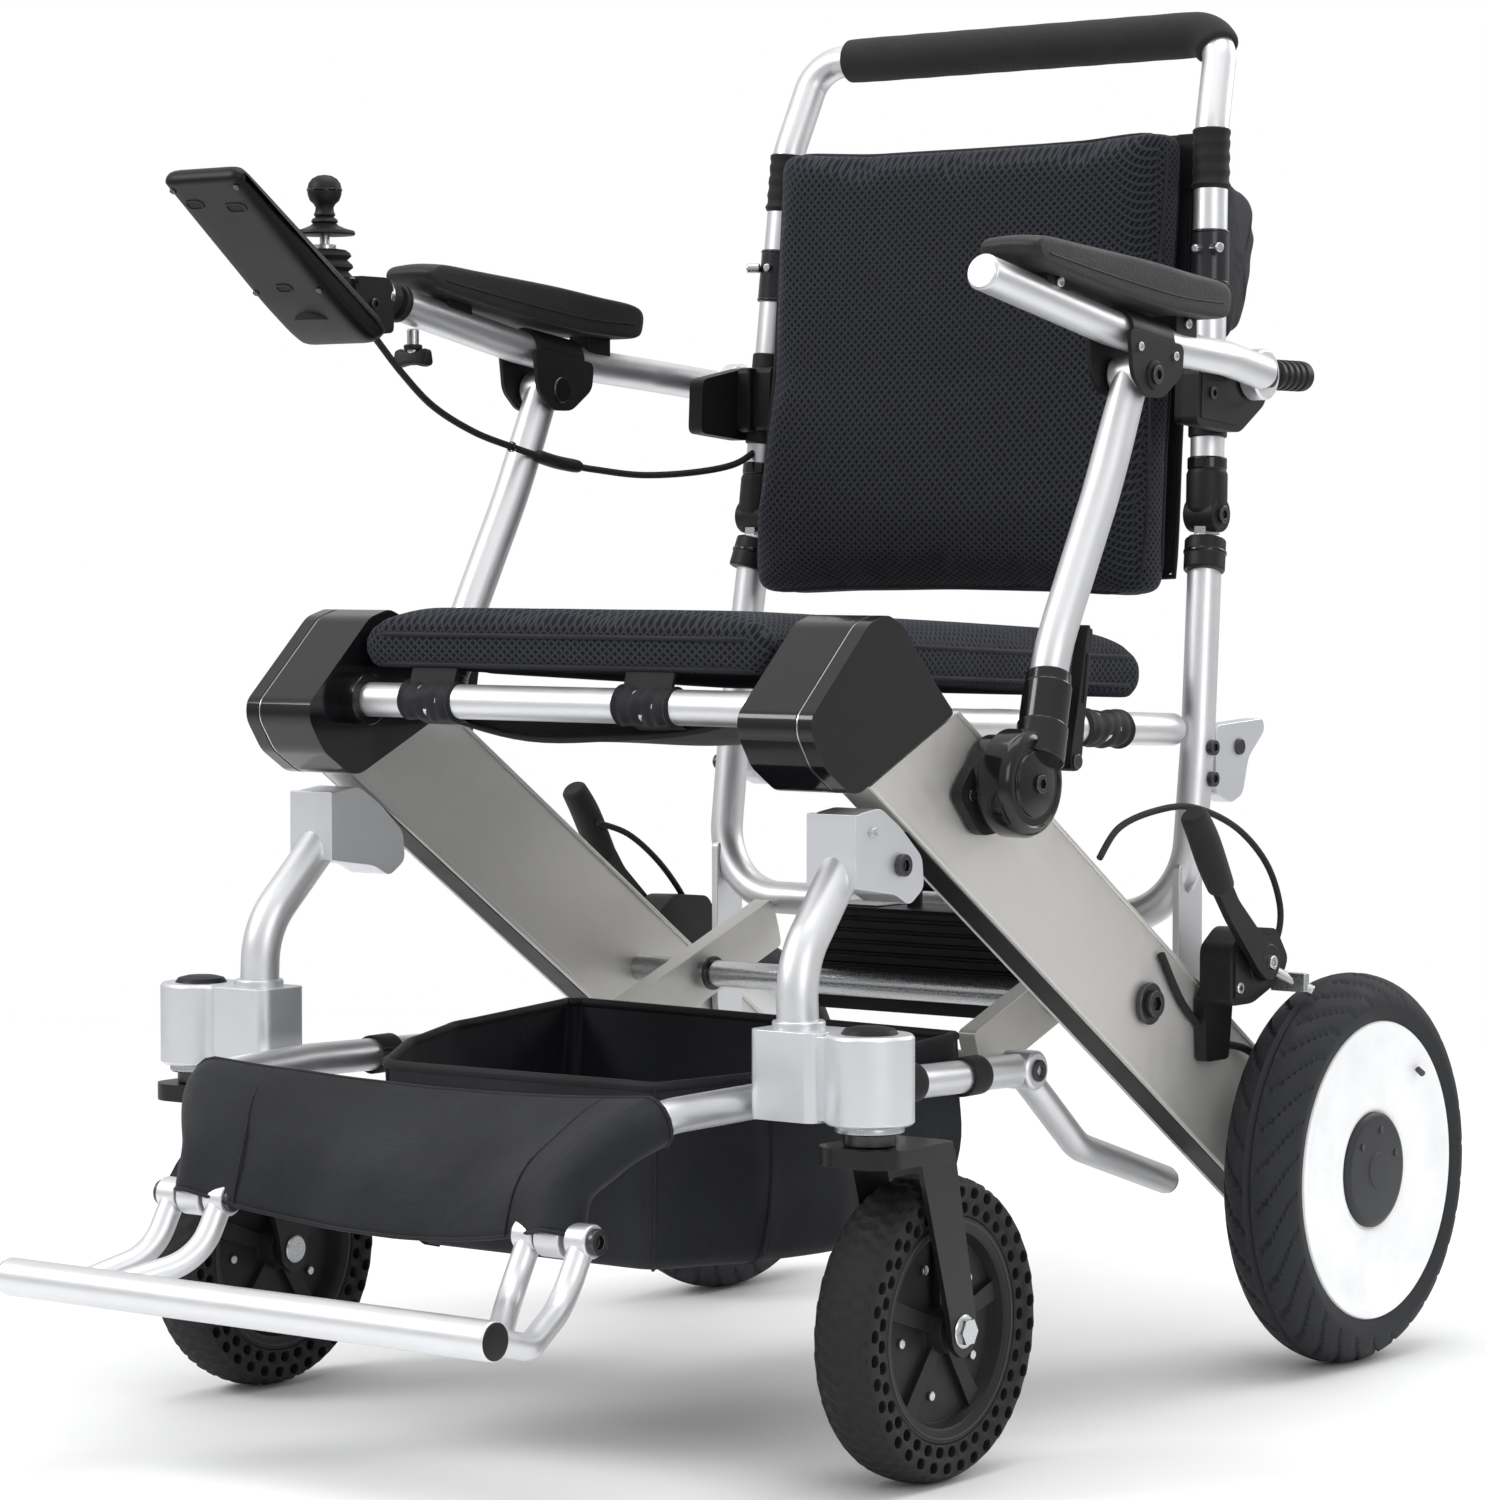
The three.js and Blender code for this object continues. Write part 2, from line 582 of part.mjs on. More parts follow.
// ---------------------------------------------------------------- armrests
// point on the right armrest's straight front end, `depth` rearwards of its tip
const frontAxisAt = (x, depth) => [x, -112 + depth * 0.9814, 748 - depth * 0.1923];
{
  // the front end falls straight from (y -128, z 751) to (y 20, z 722)
  const armTube = (tipY) => join(
    tube([
      [ARM_X, tipY, 751 - (29 * (tipY + 128)) / 148], [ARM_X, 20, 722], [ARM_X, 100, 711],
      [ARM_X, 172, 706], [240, 240, 699],
    ], ARM_R, 12, [120, 160, 60], 20),
    disc(222.1, 236, 18, ...ARM_PIVOT, 22),
  );
  put('armrest_tube_left', armTube(-128), 'silver');
  // the right tube is shorter and bored for the controller's rod
  const bore = tube([frontAxisAt(ARM_X, 100), frontAxisAt(ARM_X, -20)], 8.2, 16);
  put('armrest_tube_right', mirror(cut(armTube(-112), bore)), 'silver');
}
{
  const pad = [
    [-98, 763], [-92, 759.5], [-20, 745], [60, 734], [100, 731], [138, 731],
    [142, 741], [138, 755], [40, 766], [-50, 772], [-86, 775], [-97, 771],
  ];
  pair('armrest_pad', plate(pad, ARM_X - 23, ARM_X + 23), 'foam');
}
// fork bracket under the tube that carries the post's top pivot
{
  const block = [[20, 723], [88, 713], [86, 692], [60, 676], [42, 676], [24, 690]];
  const slot = [[0, 708], [0, 660], [110, 660], [110, 690], [66, 708]];
  const armAxis = [
    [ARM_X, -10, 727.9], [ARM_X, 20, 722], [ARM_X, 100, 711], [ARM_X, 130, 708.8],
  ];
  pair('arm_bracket', cut(
    plate(block, ARM_X - 17.5, ARM_X + 17.5),
    plate(slot, ARM_X - 14.2, ARM_X + 14.2),
    tube(armAxis, ARM_R + 0.6, 12, [120, 160], 20),
  ), 'black');
}
// post: bent tube with an eye at its top, standing in a round foot
{
  const path = [
    [ARM_X, POST_TOP[0], POST_TOP[1] - 4], [ARM_X, 22, 640], [ARM_X, -14, 566],
    [ARM_X, -45.5, 503], [ARM_X, -52.4, 489.2],
  ];
  pair('armrest_post', join(
    tube(path, 12.8, 12, [120, 120, 60], 18),
    disc(ARM_X - 13, ARM_X + 13, 13, ...POST_TOP, 20),
  ), 'silver');
  pair('post_foot', join(
    disc(246.4, 272, 35, ...POST_FOOT, 24),
    tube([[ARM_X + 11, -80, 450], [ARM_X + 3, -56, 486]], 15.6, 12),
  ), 'black');
  const latch = [
    [-41, 438], [-34, 432], [-28, 438], [-15, 518], [-19, 524], [-23, 520], [-31, 470],
  ];
  pair('post_latch', plate(latch, 254, 264), 'black');
}

// ---------------------------------------------------------------- controller, right armrest
{
  const [joyX, joyY, joyZ] = JOYSTICK;
  // a flat slab leaning down towards the armrest, its top face on one straight line
  const slabOutline = [
    [-301, 821], [-299, 828], [-293, 831], [-286, 828], [-172, 750],
    [-152, 737], [-146, 724], [-160, 716], [-176, 724], [-203, 743],
  ];
  // everything below the slab, to trim the turret
  const below = [
    [-340, 852.8], [-301, 821], [-203, 743], [-176, 724], [-160, 716], [-146, 690], [-340, 690],
  ];
  // ribbed turret around the joystick
  const turret = [
    [0, -56], [0, -12], [10.5, -12], [10.5, -1], [17, -1], [19, -5],
    [15.5, -8], [20, -13], [16, -16], [21, -22], [21, -56], [0, -56],
  ];
  const body = join(
    plate(slabOutline, joyX - 35, joyX + 35),
    cut(turnedZ(turret, 20).translate(...JOYSTICK), plate(below, -300, -220)),
    box(-270, -240, -168, -128, 722, 764),
    tube([[-ARM_X, -148, 755.1], frontAxisAt(-ARM_X, 60)], 7.7, 16),
  );
  const well = drum(joyX, joyY, joyZ - 12, joyZ + 60, 10.5, 24);

  // buttons stand on the top face, between heights measured square to it
  const slope = unit(114, -78);
  const onTop = lineFrame([-286, 828], slope);
  const lean = Math.atan2(-slope[1], slope[0]); // of the face's normal towards +Y
  const onFace = (shape, x, along, [low, high]) =>
    cleaned(shape.rotateX(-lean).translate(x, ...onTop(along, (low + high) / 2)));
  const stud = (x, radius, [low, high]) =>
    onFace(cylinder(radius, high - low, 20).rotateX(Math.PI / 2), x, 20, [low, high]);
  const bar = (width, depth, [low, high]) =>
    onFace(new THREE.BoxGeometry(width, depth, high - low), joyX, 42, [low, high]);
  const pocket = [-5, 8];
  const button = [-3.2, 2.2];
  const powerX = joyX - 15;
  const hornX = joyX + 15;
  put('controller', cut(
    cut(body, well),
    stud(powerX, 6.5, pocket), stud(hornX, 6.5, pocket), bar(18.8, 8.8, pocket),
  ), 'black');
  put('power_button', stud(powerX, 6, button), 'gloss');
  put('horn_button', stud(hornX, 6, button), 'gloss');
  put('speed_button', bar(18, 8, button), 'gloss');

  const gimbal = [[5.2, -2.5], [8, -2.5], [8, 2.5], [5.2, 2.5], [5.2, -2.5]];
  const stick = [
    [0, -3.8], [3.4, -3], [4.4, 0], [3.4, 3], [3.4, 9], [21, 9], [20, 12], [9, 15],
    [5.5, 20], [6.5, 28], [10.5, 33], [11.8, 39], [10.5, 45.5], [6, 49.6], [0, 50.6],
  ];
  put('joystick_gimbal', turnedZ(gimbal, 20), 'steel', JOYSTICK);
  put('joystick', turnedZ(stick, 18), 'black', JOYSTICK);
}
// clamp screw under the right armrest tube
put('thumb_knob', join(
  drum(-ARM_X, -94, 716, 730.6, 4.2, 14),
  box(-ARM_X - 15, -ARM_X + 15, -99, -89, 704, 717),
), 'black');

export default chair;
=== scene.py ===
import bpy, bmesh, math
import numpy as np
from mathutils import Vector, Matrix


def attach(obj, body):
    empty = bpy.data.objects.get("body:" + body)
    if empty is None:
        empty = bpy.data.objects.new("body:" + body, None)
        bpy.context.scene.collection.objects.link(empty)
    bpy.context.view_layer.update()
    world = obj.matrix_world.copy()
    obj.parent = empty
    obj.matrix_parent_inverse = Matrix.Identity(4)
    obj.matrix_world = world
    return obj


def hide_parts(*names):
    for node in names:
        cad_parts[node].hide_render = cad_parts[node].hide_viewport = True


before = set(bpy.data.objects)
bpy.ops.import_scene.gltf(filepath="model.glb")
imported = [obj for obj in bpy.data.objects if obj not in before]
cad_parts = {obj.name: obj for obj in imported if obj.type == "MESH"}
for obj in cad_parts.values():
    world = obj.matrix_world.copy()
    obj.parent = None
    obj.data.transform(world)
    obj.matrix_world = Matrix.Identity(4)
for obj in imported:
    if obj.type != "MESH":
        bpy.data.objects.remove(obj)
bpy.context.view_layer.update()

SHIFT = 59.0                      # layout datum to row frame, mm
def P(x, y, z): return Vector((x / 1000, (y + SHIFT) / 1000, z / 1000))
rng = np.random.default_rng(7)

# ------------------------------------------------------------------ node helpers
class NT:
    def __init__(self, name):
        self.m = bpy.data.materials.new(name); self.m.use_nodes = True
        self.t = self.m.node_tree; self.b = self.t.nodes["Principled BSDF"]
        tc = self.t.nodes.new("ShaderNodeTexCoord"); self.co = tc.outputs["Object"]
    def n(self, kind, **kw):
        nd = self.t.nodes.new(kind)
        for k, v in kw.items(): setattr(nd, k, v)
        return nd
    def put(self, sock, v):
        if isinstance(v, bpy.types.NodeSocket): self.t.links.new(v, sock)
        else: sock.default_value = v
    def math(self, op, a, b=0.0, c=0.0, clamp=False):
        nd = self.n("ShaderNodeMath", operation=op, use_clamp=clamp)
        self.put(nd.inputs[0], a); self.put(nd.inputs[1], b); self.put(nd.inputs[2], c)
        return nd.outputs[0]
    def xyz(self, v=None):
        nd = self.n("ShaderNodeSeparateXYZ"); self.put(nd.inputs[0], v or self.co); return nd.outputs
    def vec(self, x, y, z):
        nd = self.n("ShaderNodeCombineXYZ")
        for i, v in enumerate((x, y, z)): self.put(nd.inputs[i], v)
        return nd.outputs[0]
    def scale(self, s, v=None):
        nd = self.n("ShaderNodeMapping"); self.put(nd.inputs["Vector"], v or self.co); nd.inputs["Scale"].default_value = s; return nd.outputs[0]
    def noise(self, scale, detail=3, rough=0.5, v=None, dist=0.0):
        nd = self.n("ShaderNodeTexNoise"); self.put(nd.inputs["Vector"], v or self.co)
        nd.inputs["Scale"].default_value = scale; nd.inputs["Detail"].default_value = detail; nd.inputs["Roughness"].default_value = rough; nd.inputs["Distortion"].default_value = dist
        return nd.outputs["Fac"]
    def voronoi(self, scale, feature="F1", v=None, out="Distance"):
        nd = self.n("ShaderNodeTexVoronoi", feature=feature); self.put(nd.inputs["Vector"], v or self.co); nd.inputs["Scale"].default_value = scale
        return nd.outputs[out]
    def map(self, v, a, b, c, d, clamp=True):
        nd = self.n("ShaderNodeMapRange", clamp=clamp); self.put(nd.inputs[0], v)
        for i, k in enumerate((a, b, c, d)): self.put(nd.inputs[i + 1], k)
        return nd.outputs[0]
    def mix(self, f, a, b):
        nd = self.n("ShaderNodeMix", data_type="RGBA"); self.put(nd.inputs[0], f)
        self.put(nd.inputs[6], a if isinstance(a, bpy.types.NodeSocket) else (*a, 1)); self.put(nd.inputs[7], b if isinstance(b, bpy.types.NodeSocket) else (*b, 1))
        return nd.outputs[2]
    def bump(self, h, strength=0.3, dist=0.001, normal=None):
        nd = self.n("ShaderNodeBump"); self.put(nd.inputs["Height"], h); nd.inputs["Strength"].default_value = strength; nd.inputs["Distance"].default_value = dist
        if normal is not None: self.put(nd.inputs["Normal"], normal)
        return nd.outputs[0]
    def normal(self):
        return self.n("ShaderNodeNewGeometry").outputs["Normal"]
    def objnormal(self):
        g = self.n("ShaderNodeTexCoord"); return g.outputs["Normal"]
    def wear(self, radius=0.0012, lo=0.15, hi=0.75):
        bv = self.n("ShaderNodeBevel"); bv.samples = 4; bv.inputs["Radius"].default_value = radius
        g = self.n("ShaderNodeNewGeometry")
        d = self.n("ShaderNodeVectorMath", operation="DOT_PRODUCT"); self.t.links.new(bv.outputs[0], d.inputs[0]); self.t.links.new(g.outputs["Normal"], d.inputs[1])
        e = self.math("SUBTRACT", 1.0, d.outputs["Value"])
        return self.map(e, lo * 0.1, hi * 0.3, 0.0, 1.0)
    def done(self, color=None, rough=None, metal=None, normal=None, **kw):
        i = self.b.inputs
        if color is not None: self.put(i["Base Color"], color if isinstance(color, bpy.types.NodeSocket) else (*color, 1))
        if rough is not None: self.put(i["Roughness"], rough)
        if metal is not None: self.put(i["Metallic"], metal)
        if normal is not None: self.put(i["Normal"], normal)
        for k, v in kw.items(): self.put(i[k.replace("_", " ")], v)
        return self.m

def mat_metal(name, color, r0, r1, grain=(60, 60, 60), metal=1.0, tint=0.04, fine=0.12):
    t = NT(name)
    big = t.noise(9, 2); g = t.noise(14, 4, 0.6, t.scale(grain)); f = t.noise(2600, 2)
    c2 = tuple(max(0, c * (1 - tint * 2.2)) for c in color)
    return t.done(t.mix(t.math("MULTIPLY", big, g), color, c2), t.map(g, 0.3, 0.7, r0, r1), metal, t.bump(f, fine * 0.12, 0.00004))

M = {}
M["tube"] = mat_metal("silver_tube", (0.78, 0.785, 0.80), 0.38, 0.46, (3, 3, 3), 0.90, 0.03)
M["beam"] = mat_metal("beam_satin", (0.70, 0.69, 0.665), 0.40, 0.50, (40, 6, 6), 0.65, 0.03, 0.10)
M["cast"] = mat_metal("cast_silver", (0.74, 0.755, 0.78), 0.34, 0.42, (6, 6, 6), 0.75, 0.02, 0.2)
M["steel"] = mat_metal("zinc_steel", (0.60, 0.61, 0.62), 0.22, 0.38, (70, 70, 70), 1.0, 0.08, 0.1)
M["darksteel"] = mat_metal("dark_screw", (0.09, 0.09, 0.095), 0.28, 0.42, (70, 70, 70), 1.0, 0.05, 0.1)

def mat_plastic(name, base, edge, r0, r1, tex=1500, strength=0.25, coat=0.0, wear=True):
    t = NT(name)
    n1 = t.noise(tex, 3, 0.6); n2 = t.noise(22, 3)
    col = t.mix(n2, base, tuple(c * 1.35 + 0.002 for c in base))
    if wear: col = t.mix(t.math("MULTIPLY", t.wear(), t.map(t.noise(120, 3), 0.35, 0.7, 0.25, 0.9)), col, edge)
    return t.done(col, t.map(n2, 0.25, 0.75, r0, r1), 0.0, t.bump(n1, strength, 0.00022), Coat_Weight=coat, Coat_Roughness=0.08, Specular_IOR_Level=0.26)
M["gloss"] = mat_plastic("gloss_black", (0.005, 0.005, 0.006), (0.02, 0.02, 0.022), 0.13, 0.20, 900, 0.05, 0.35)
M["matte"] = mat_plastic("matte_black", (0.009, 0.009, 0.010), (0.028, 0.028, 0.030), 0.40, 0.54, 1900, 0.36)
M["shell"] = mat_plastic("controller_black", (0.0035, 0.0035, 0.004), (0.014, 0.014, 0.015), 0.34, 0.46, 1900, 0.22)
M["powder"] = mat_plastic("black_steel", (0.008, 0.008, 0.0085), (0.03, 0.03, 0.03), 0.30, 0.42, 900, 0.25, 0.08)
M["white"] = mat_plastic("wheel_white", (0.79, 0.795, 0.80), (0.84, 0.84, 0.84), 0.30, 0.40, 700, 0.05, 0.15, False)
M["hubgrey"] = mat_plastic("hub_grey", (0.028, 0.029, 0.031), (0.07, 0.07, 0.07), 0.36, 0.5, 1200, 0.25)
M["label"] = mat_plastic("dark_panel", (0.012, 0.012, 0.016), (0.03, 0.03, 0.035), 0.22, 0.3, 900, 0.05, 0.3)

def mat_rubber(name, base, dust, tex=700, strength=0.35):
    t = NT(name)
    n1 = t.noise(tex, 4, 0.65); n2 = t.noise(30, 4); v = t.voronoi(900)
    col = t.mix(t.map(n2, 0.42, 0.75, 0, 0.55), base, dust)
    col = t.mix(t.math("MULTIPLY", t.wear(0.0016), 0.5), col, tuple(c * 2.2 for c in base))
    return t.done(col, t.map(n2, 0.3, 0.7, 0.62, 0.82), 0.0, t.bump(t.math("ADD", n1, t.math("MULTIPLY", v, 0.4)), strength, 0.0003), Specular_IOR_Level=0.35)
M["tyre"] = mat_rubber("rear_rubber", (0.017, 0.018, 0.021), (0.032, 0.033, 0.035))
M["caster"] = mat_rubber("caster_rubber", (0.012, 0.012, 0.013), (0.028, 0.027, 0.026))

def weave_coords(t):
    o = t.xyz(t.objnormal()); x, y, z = t.xyz()
    side = t.math("GREATER_THAN", t.math("ABSOLUTE", o[0]), 0.8)
    yz = t.math("SUBTRACT", y, z)
    u = t.math("ADD", t.math("MULTIPLY", x, t.math("SUBTRACT", 1.0, side)), t.math("MULTIPLY", y, side))
    v = t.math("ADD", t.math("MULTIPLY", yz, t.math("SUBTRACT", 1.0, side)), t.math("MULTIPLY", z, side))
    return u, v
def mat_mesh(name, p=0.0066, q=0.0056):
    t = NT(name); u, v = weave_coords(t)
    warp = t.math("MULTIPLY", t.math("SUBTRACT", t.noise(40, 2), 0.5), 0.0012)
    u = t.math("ADD", u, warp); k = math.pi
    a = t.math("ABSOLUTE", t.math("SINE", t.math("MULTIPLY", k, t.math("ADD", t.math("DIVIDE", u, p), t.math("DIVIDE", v, q)))))
    b = t.math("ABSOLUTE", t.math("SINE", t.math("MULTIPLY", k, t.math("SUBTRACT", t.math("DIVIDE", u, p), t.math("DIVIDE", v, q)))))
    h = t.math("MINIMUM", a, b); hole = t.map(h, 0.36, 0.62, 0, 1)
    yarn = t.noise(3200, 2); n2 = t.noise(16, 4)
    thread = t.mix(n2, (0.011, 0.0117, 0.0145), (0.019, 0.020, 0.0245))
    thread = t.mix(t.math("MULTIPLY", yarn, 0.5), thread, (0.045, 0.047, 0.055))
    # the openings are painted near black: painted shade inside the mesh holes, which the bump also makes low
    col = t.mix(hole, thread, (0.0018, 0.0024, 0.006))
    hh = t.math("ADD", t.math("SUBTRACT", 1.0, hole), t.math("MULTIPLY", yarn, 0.25))
    big = t.bump(t.noise(26, 3), 0.25, 0.004)
    return t.done(col, t.map(hole, 0, 1, 0.72, 0.9), 0.0, t.bump(hh, 0.85, 0.0011, big), Sheen_Weight=0.12, Sheen_Roughness=0.4, Sheen_Tint=(0.75, 0.8, 1, 1), Specular_IOR_Level=0.25)
M["mesh"] = mat_mesh("air_mesh")
def mat_nylon(name, base=(0.0075, 0.0082, 0.011), hi=(0.016, 0.0175, 0.023), p=0.0011, wrinkle=0.5):
    t = NT(name); u, v = weave_coords(t); k = 2 * math.pi / p
    a = t.math("SINE", t.math("MULTIPLY", u, k)); b = t.math("SINE", t.math("MULTIPLY", v, k))
    w = t.math("ADD", t.math("MULTIPLY", a, b), 0.0)
    n2 = t.noise(14, 4, 0.55)
    # the first mix follows the weave height w that also drives the bump: lighter raised threads and darker dips are
    # painted highlight and shade of the weave; the second mix adds random darker patches
    col = t.mix(t.map(w, -1, 1, 0, 1), base, hi); col = t.mix(t.map(n2, 0.35, 0.75, 0, 0.5), col, tuple(c * 0.55 for c in base))
    wr = t.bump(t.noise(17, 3, 0.5, None, 0.6), wrinkle, 0.006)
    return t.done(col, t.map(n2, 0.3, 0.7, 0.55, 0.7), 0.0, t.bump(w, 0.3, 0.00035, wr), Sheen_Weight=0.10, Sheen_Roughness=0.35, Specular_IOR_Level=0.3)
M["nylon"] = mat_nylon("nylon")
M["binding"] = mat_nylon("bias_binding", (0.006, 0.0062, 0.0075), (0.018, 0.0185, 0.022), 0.0018, 0.15)
M["webbing"] = mat_nylon("webbing", (0.005, 0.005, 0.006), (0.016, 0.0165, 0.02), 0.0022, 0.1)
def mat_foam(name):
    t = NT(name); n1 = t.noise(1500, 3, 0.7); v = t.voronoi(1300); n2 = t.noise(30, 3)
    # the second mix darkens the pits near the Voronoi points, which the bump makes low: painted shade in the pores
    col = t.mix(n2, (0.008, 0.008, 0.0082), (0.016, 0.016, 0.0165)); col = t.mix(t.map(v, 0.1, 0.5, 0.6, 0), col, (0.006, 0.006, 0.006))
    return t.done(col, 0.86, 0.0, t.bump(t.math("ADD", v, t.math("MULTIPLY", n1, 0.6)), 0.6, 0.0006), Sheen_Weight=0.06, Sheen_Roughness=0.5)
M["foam"] = mat_foam("foam_grip")
def mat_pad(name):
    t = NT(name); v = t.voronoi(620, "SMOOTH_F1"); n1 = t.noise(1400, 3); n2 = t.noise(18, 3)
    col = t.mix(n2, (0.010, 0.010, 0.0105), (0.018, 0.018, 0.019))
    return t.done(col, t.map(n2, 0.3, 0.7, 0.44, 0.58), 0.0, t.bump(t.math("ADD", v, t.math("MULTIPLY", n1, 0.35)), 0.28, 0.0006), Sheen_Weight=0.05, Specular_IOR_Level=0.35)
M["pad"] = mat_pad("pad_pu")
M["cable"] = mat_rubber("cable_jacket", (0.012, 0.012, 0.013), (0.028, 0.028, 0.03), 2200, 0.1)

# ------------------------------------------------------------------ mesh helpers (mm, layout frame)
def rounded(pts, radii=0, step=7):
    Q = [Vector(p) for p in pts]; out = [Q[0].copy()]
    for i in range(1, len(Q) - 1):
        r = radii[i - 1] if isinstance(radii, (list, tuple)) else radii
        a = (Q[i - 1] - Q[i]).normalized(); b = (Q[i + 1] - Q[i]).normalized()
        turn = math.pi - a.angle(b)
        if r <= 0 or turn < 0.02: out.append(Q[i].copy()); continue
        d = r * math.tan(turn / 2); c = Q[i] + (a + b).normalized() * (r / math.cos(turn / 2))
        s = Q[i] + a * d - c; ax = s.cross(Q[i] + b * d - c).normalized(); n = max(2, math.ceil(math.degrees(turn) / step))
        for k in range(n + 1): out.append(c + Matrix.Rotation(turn * k / n, 3, ax) @ s)
    out.append(Q[-1].copy()); return out
def catmull(pts, sub=8, closed=False):
    Q = [Vector(p) for p in pts]; n = len(Q); out = []
    for i in range(n if closed else n - 1):
        if closed: p0, p1, p2, p3 = Q[(i - 1) % n], Q[i], Q[(i + 1) % n], Q[(i + 2) % n]
        else: p0, p1, p2, p3 = Q[max(i - 1, 0)], Q[i], Q[i + 1], Q[min(i + 2, n - 1)]
        for k in range(sub):
            t = k / sub
            out.append(0.5 * ((2 * p1) + (p2 - p0) * t + (2 * p0 - 5 * p1 + 4 * p2 - p3) * t * t + (3 * p1 - p0 - 3 * p2 + p3) * t ** 3))
    if not closed: out.append(Q[-1].copy())
    return out
def sweep(path, r, n=28, caps=True, closed=False, sec=None, up=None):
    """rings of points along a path; r is a number, or a list as long as the path; sec is an optional list of (a, b) section points"""
    Q = [Vector(p) for p in path]; m = len(Q); v = []; f = []
    T = []
    for i in range(m):
        a = Q[i] - Q[(i - 1) % m] if (i > 0 or closed) else Vector(); b = Q[(i + 1) % m] - Q[i] if (i < m - 1 or closed) else Vector()
        T.append(((a.normalized() if a.length > 1e-9 else a) + (b.normalized() if b.length > 1e-9 else b)).normalized())
    u = up and Vector(up) or (Vector((0, 0, 1)) if abs(T[0].z) < 0.9 else Vector((0, 1, 0)))
    u = (u - T[0] * u.dot(T[0])).normalized(); fr = []
    for i in range(m):
        if i > 0:
            u = (u - T[i] * u.dot(T[i])); u.normalize()
        fr.append((u.copy(), T[i].cross(u)))
    rr = r if isinstance(r, (list, tuple)) else [r] * m
    prof = sec or [(math.cos(2 * math.pi * (k + 0.5) / n), math.sin(2 * math.pi * (k + 0.5) / n)) for k in range(n)]
    n = len(prof); rings = []
    def ring(c, f2, k): return [c + f2[0] * (a * k) + f2[1] * (b * k) for a, b in prof]
    seq = [(Q[i], fr[i], rr[i]) for i in range(m)]
    if caps and not closed and sec is None:
        ch = min(0.9, rr[0] * 0.2)
        seq = [(Q[0], fr[0], rr[0] - ch), (Q[0] + T[0] * ch, fr[0], rr[0])] + seq[1:-1] + [(Q[-1] - T[-1] * ch, fr[-1], rr[-1]), (Q[-1], fr[-1], rr[-1] - ch)]
    for c, f2, k in seq: rings.append(ring(c, f2, k))
    for rg in rings: v += [tuple(p) for p in rg]
    M_ = len(rings)
    for i in range(M_ if closed else M_ - 1):
        for k in range(n):
            a = i * n + k; b = i * n + (k + 1) % n; c = ((i + 1) % M_) * n + (k + 1) % n; d = ((i + 1) % M_) * n + k
            f.append((a, b, c, d))
    if not closed and caps: f.append(tuple(range(n - 1, -1, -1))); f.append(tuple((M_ - 1) * n + k for k in range(n)))
    return v, f
def lathe(profile, c=(0, 0, 0), axis="X", n=56, closed=False):
    """profile of (radius, distance along the axis)"""
    v = []; f = []; idx = []
    for r, a in profile:
        if r < 1e-6: idx.append([len(v)] * n); v.append((0, 0, a))
        else:
            idx.append(list(range(len(v), len(v) + n)))
            v += [(r * math.cos(2 * math.pi * k / n), r * math.sin(2 * math.pi * k / n), a) for k in range(n)]
    L = len(profile)
    for i in range(L if closed else L - 1):
        p, q = idx[i], idx[(i + 1) % L]
        for k in range(n):
            k2 = (k + 1) % n; fc = [p[k], p[k2], q[k2], q[k]]
            fc = [x for j, x in enumerate(fc) if x != fc[j - 1]]
            if len(set(fc)) >= 3: f.append(tuple(dict.fromkeys(fc)))
    if axis == "X": v = [(c[0] + z, c[1] + x, c[2] + y) for x, y, z in v]
    elif axis == "Y": v = [(c[0] + y, c[1] + z, c[2] + x) for x, y, z in v]
    else: v = [(c[0] + x, c[1] + y, c[2] + z) for x, y, z in v]
    return v, f
def disc(x0, x1, r, y, z, n=40, ch=0.8):
    return lathe([(0, x0), (r - ch, x0), (r, x0 + ch), (r, x1 - ch), (r - ch, x1), (0, x1)], (0, y, z), "X", n)
def drum(x, y, z0, z1, r, n=40, ch=0.8):
    return lathe([(0, z0), (r - ch, z0), (r, z0 + ch), (r, z1 - ch), (r - ch, z1), (0, z1)], (x, y, 0), "Z", n)
def prism(outline, a0, a1, axis="X"):
    n = len(outline)
    if axis == "X": v = [(a0, y, z) for y, z in outline] + [(a1, y, z) for y, z in outline]
    elif axis == "Z": v = [(x, y, a0) for x, y in outline] + [(x, y, a1) for x, y in outline]
    else: v = [(x, a0, z) for x, z in outline] + [(x, a1, z) for x, z in outline]
    f = [tuple(range(n)), tuple(range(2 * n - 1, n - 1, -1))] + [(k, (k + 1) % n, n + (k + 1) % n, n + k) for k in range(n)]
    return v, f
def box(x0, x1, y0, y1, z0, z1): return prism([(y0, z0), (y1, z0), (y1, z1), (y0, z1)], x0, x1)
def hexnut(c, r, h, axis="X"):
    o = [(r * math.cos(math.pi / 3 * k), r * math.sin(math.pi / 3 * k)) for k in range(6)]
    if axis == "X": return prism([(c[1] + a, c[2] + b) for a, b in o], c[0], c[0] + h)
    if axis == "Z": return prism([(c[0] + a, c[1] + b) for a, b in o], c[2], c[2] + h, "Z")
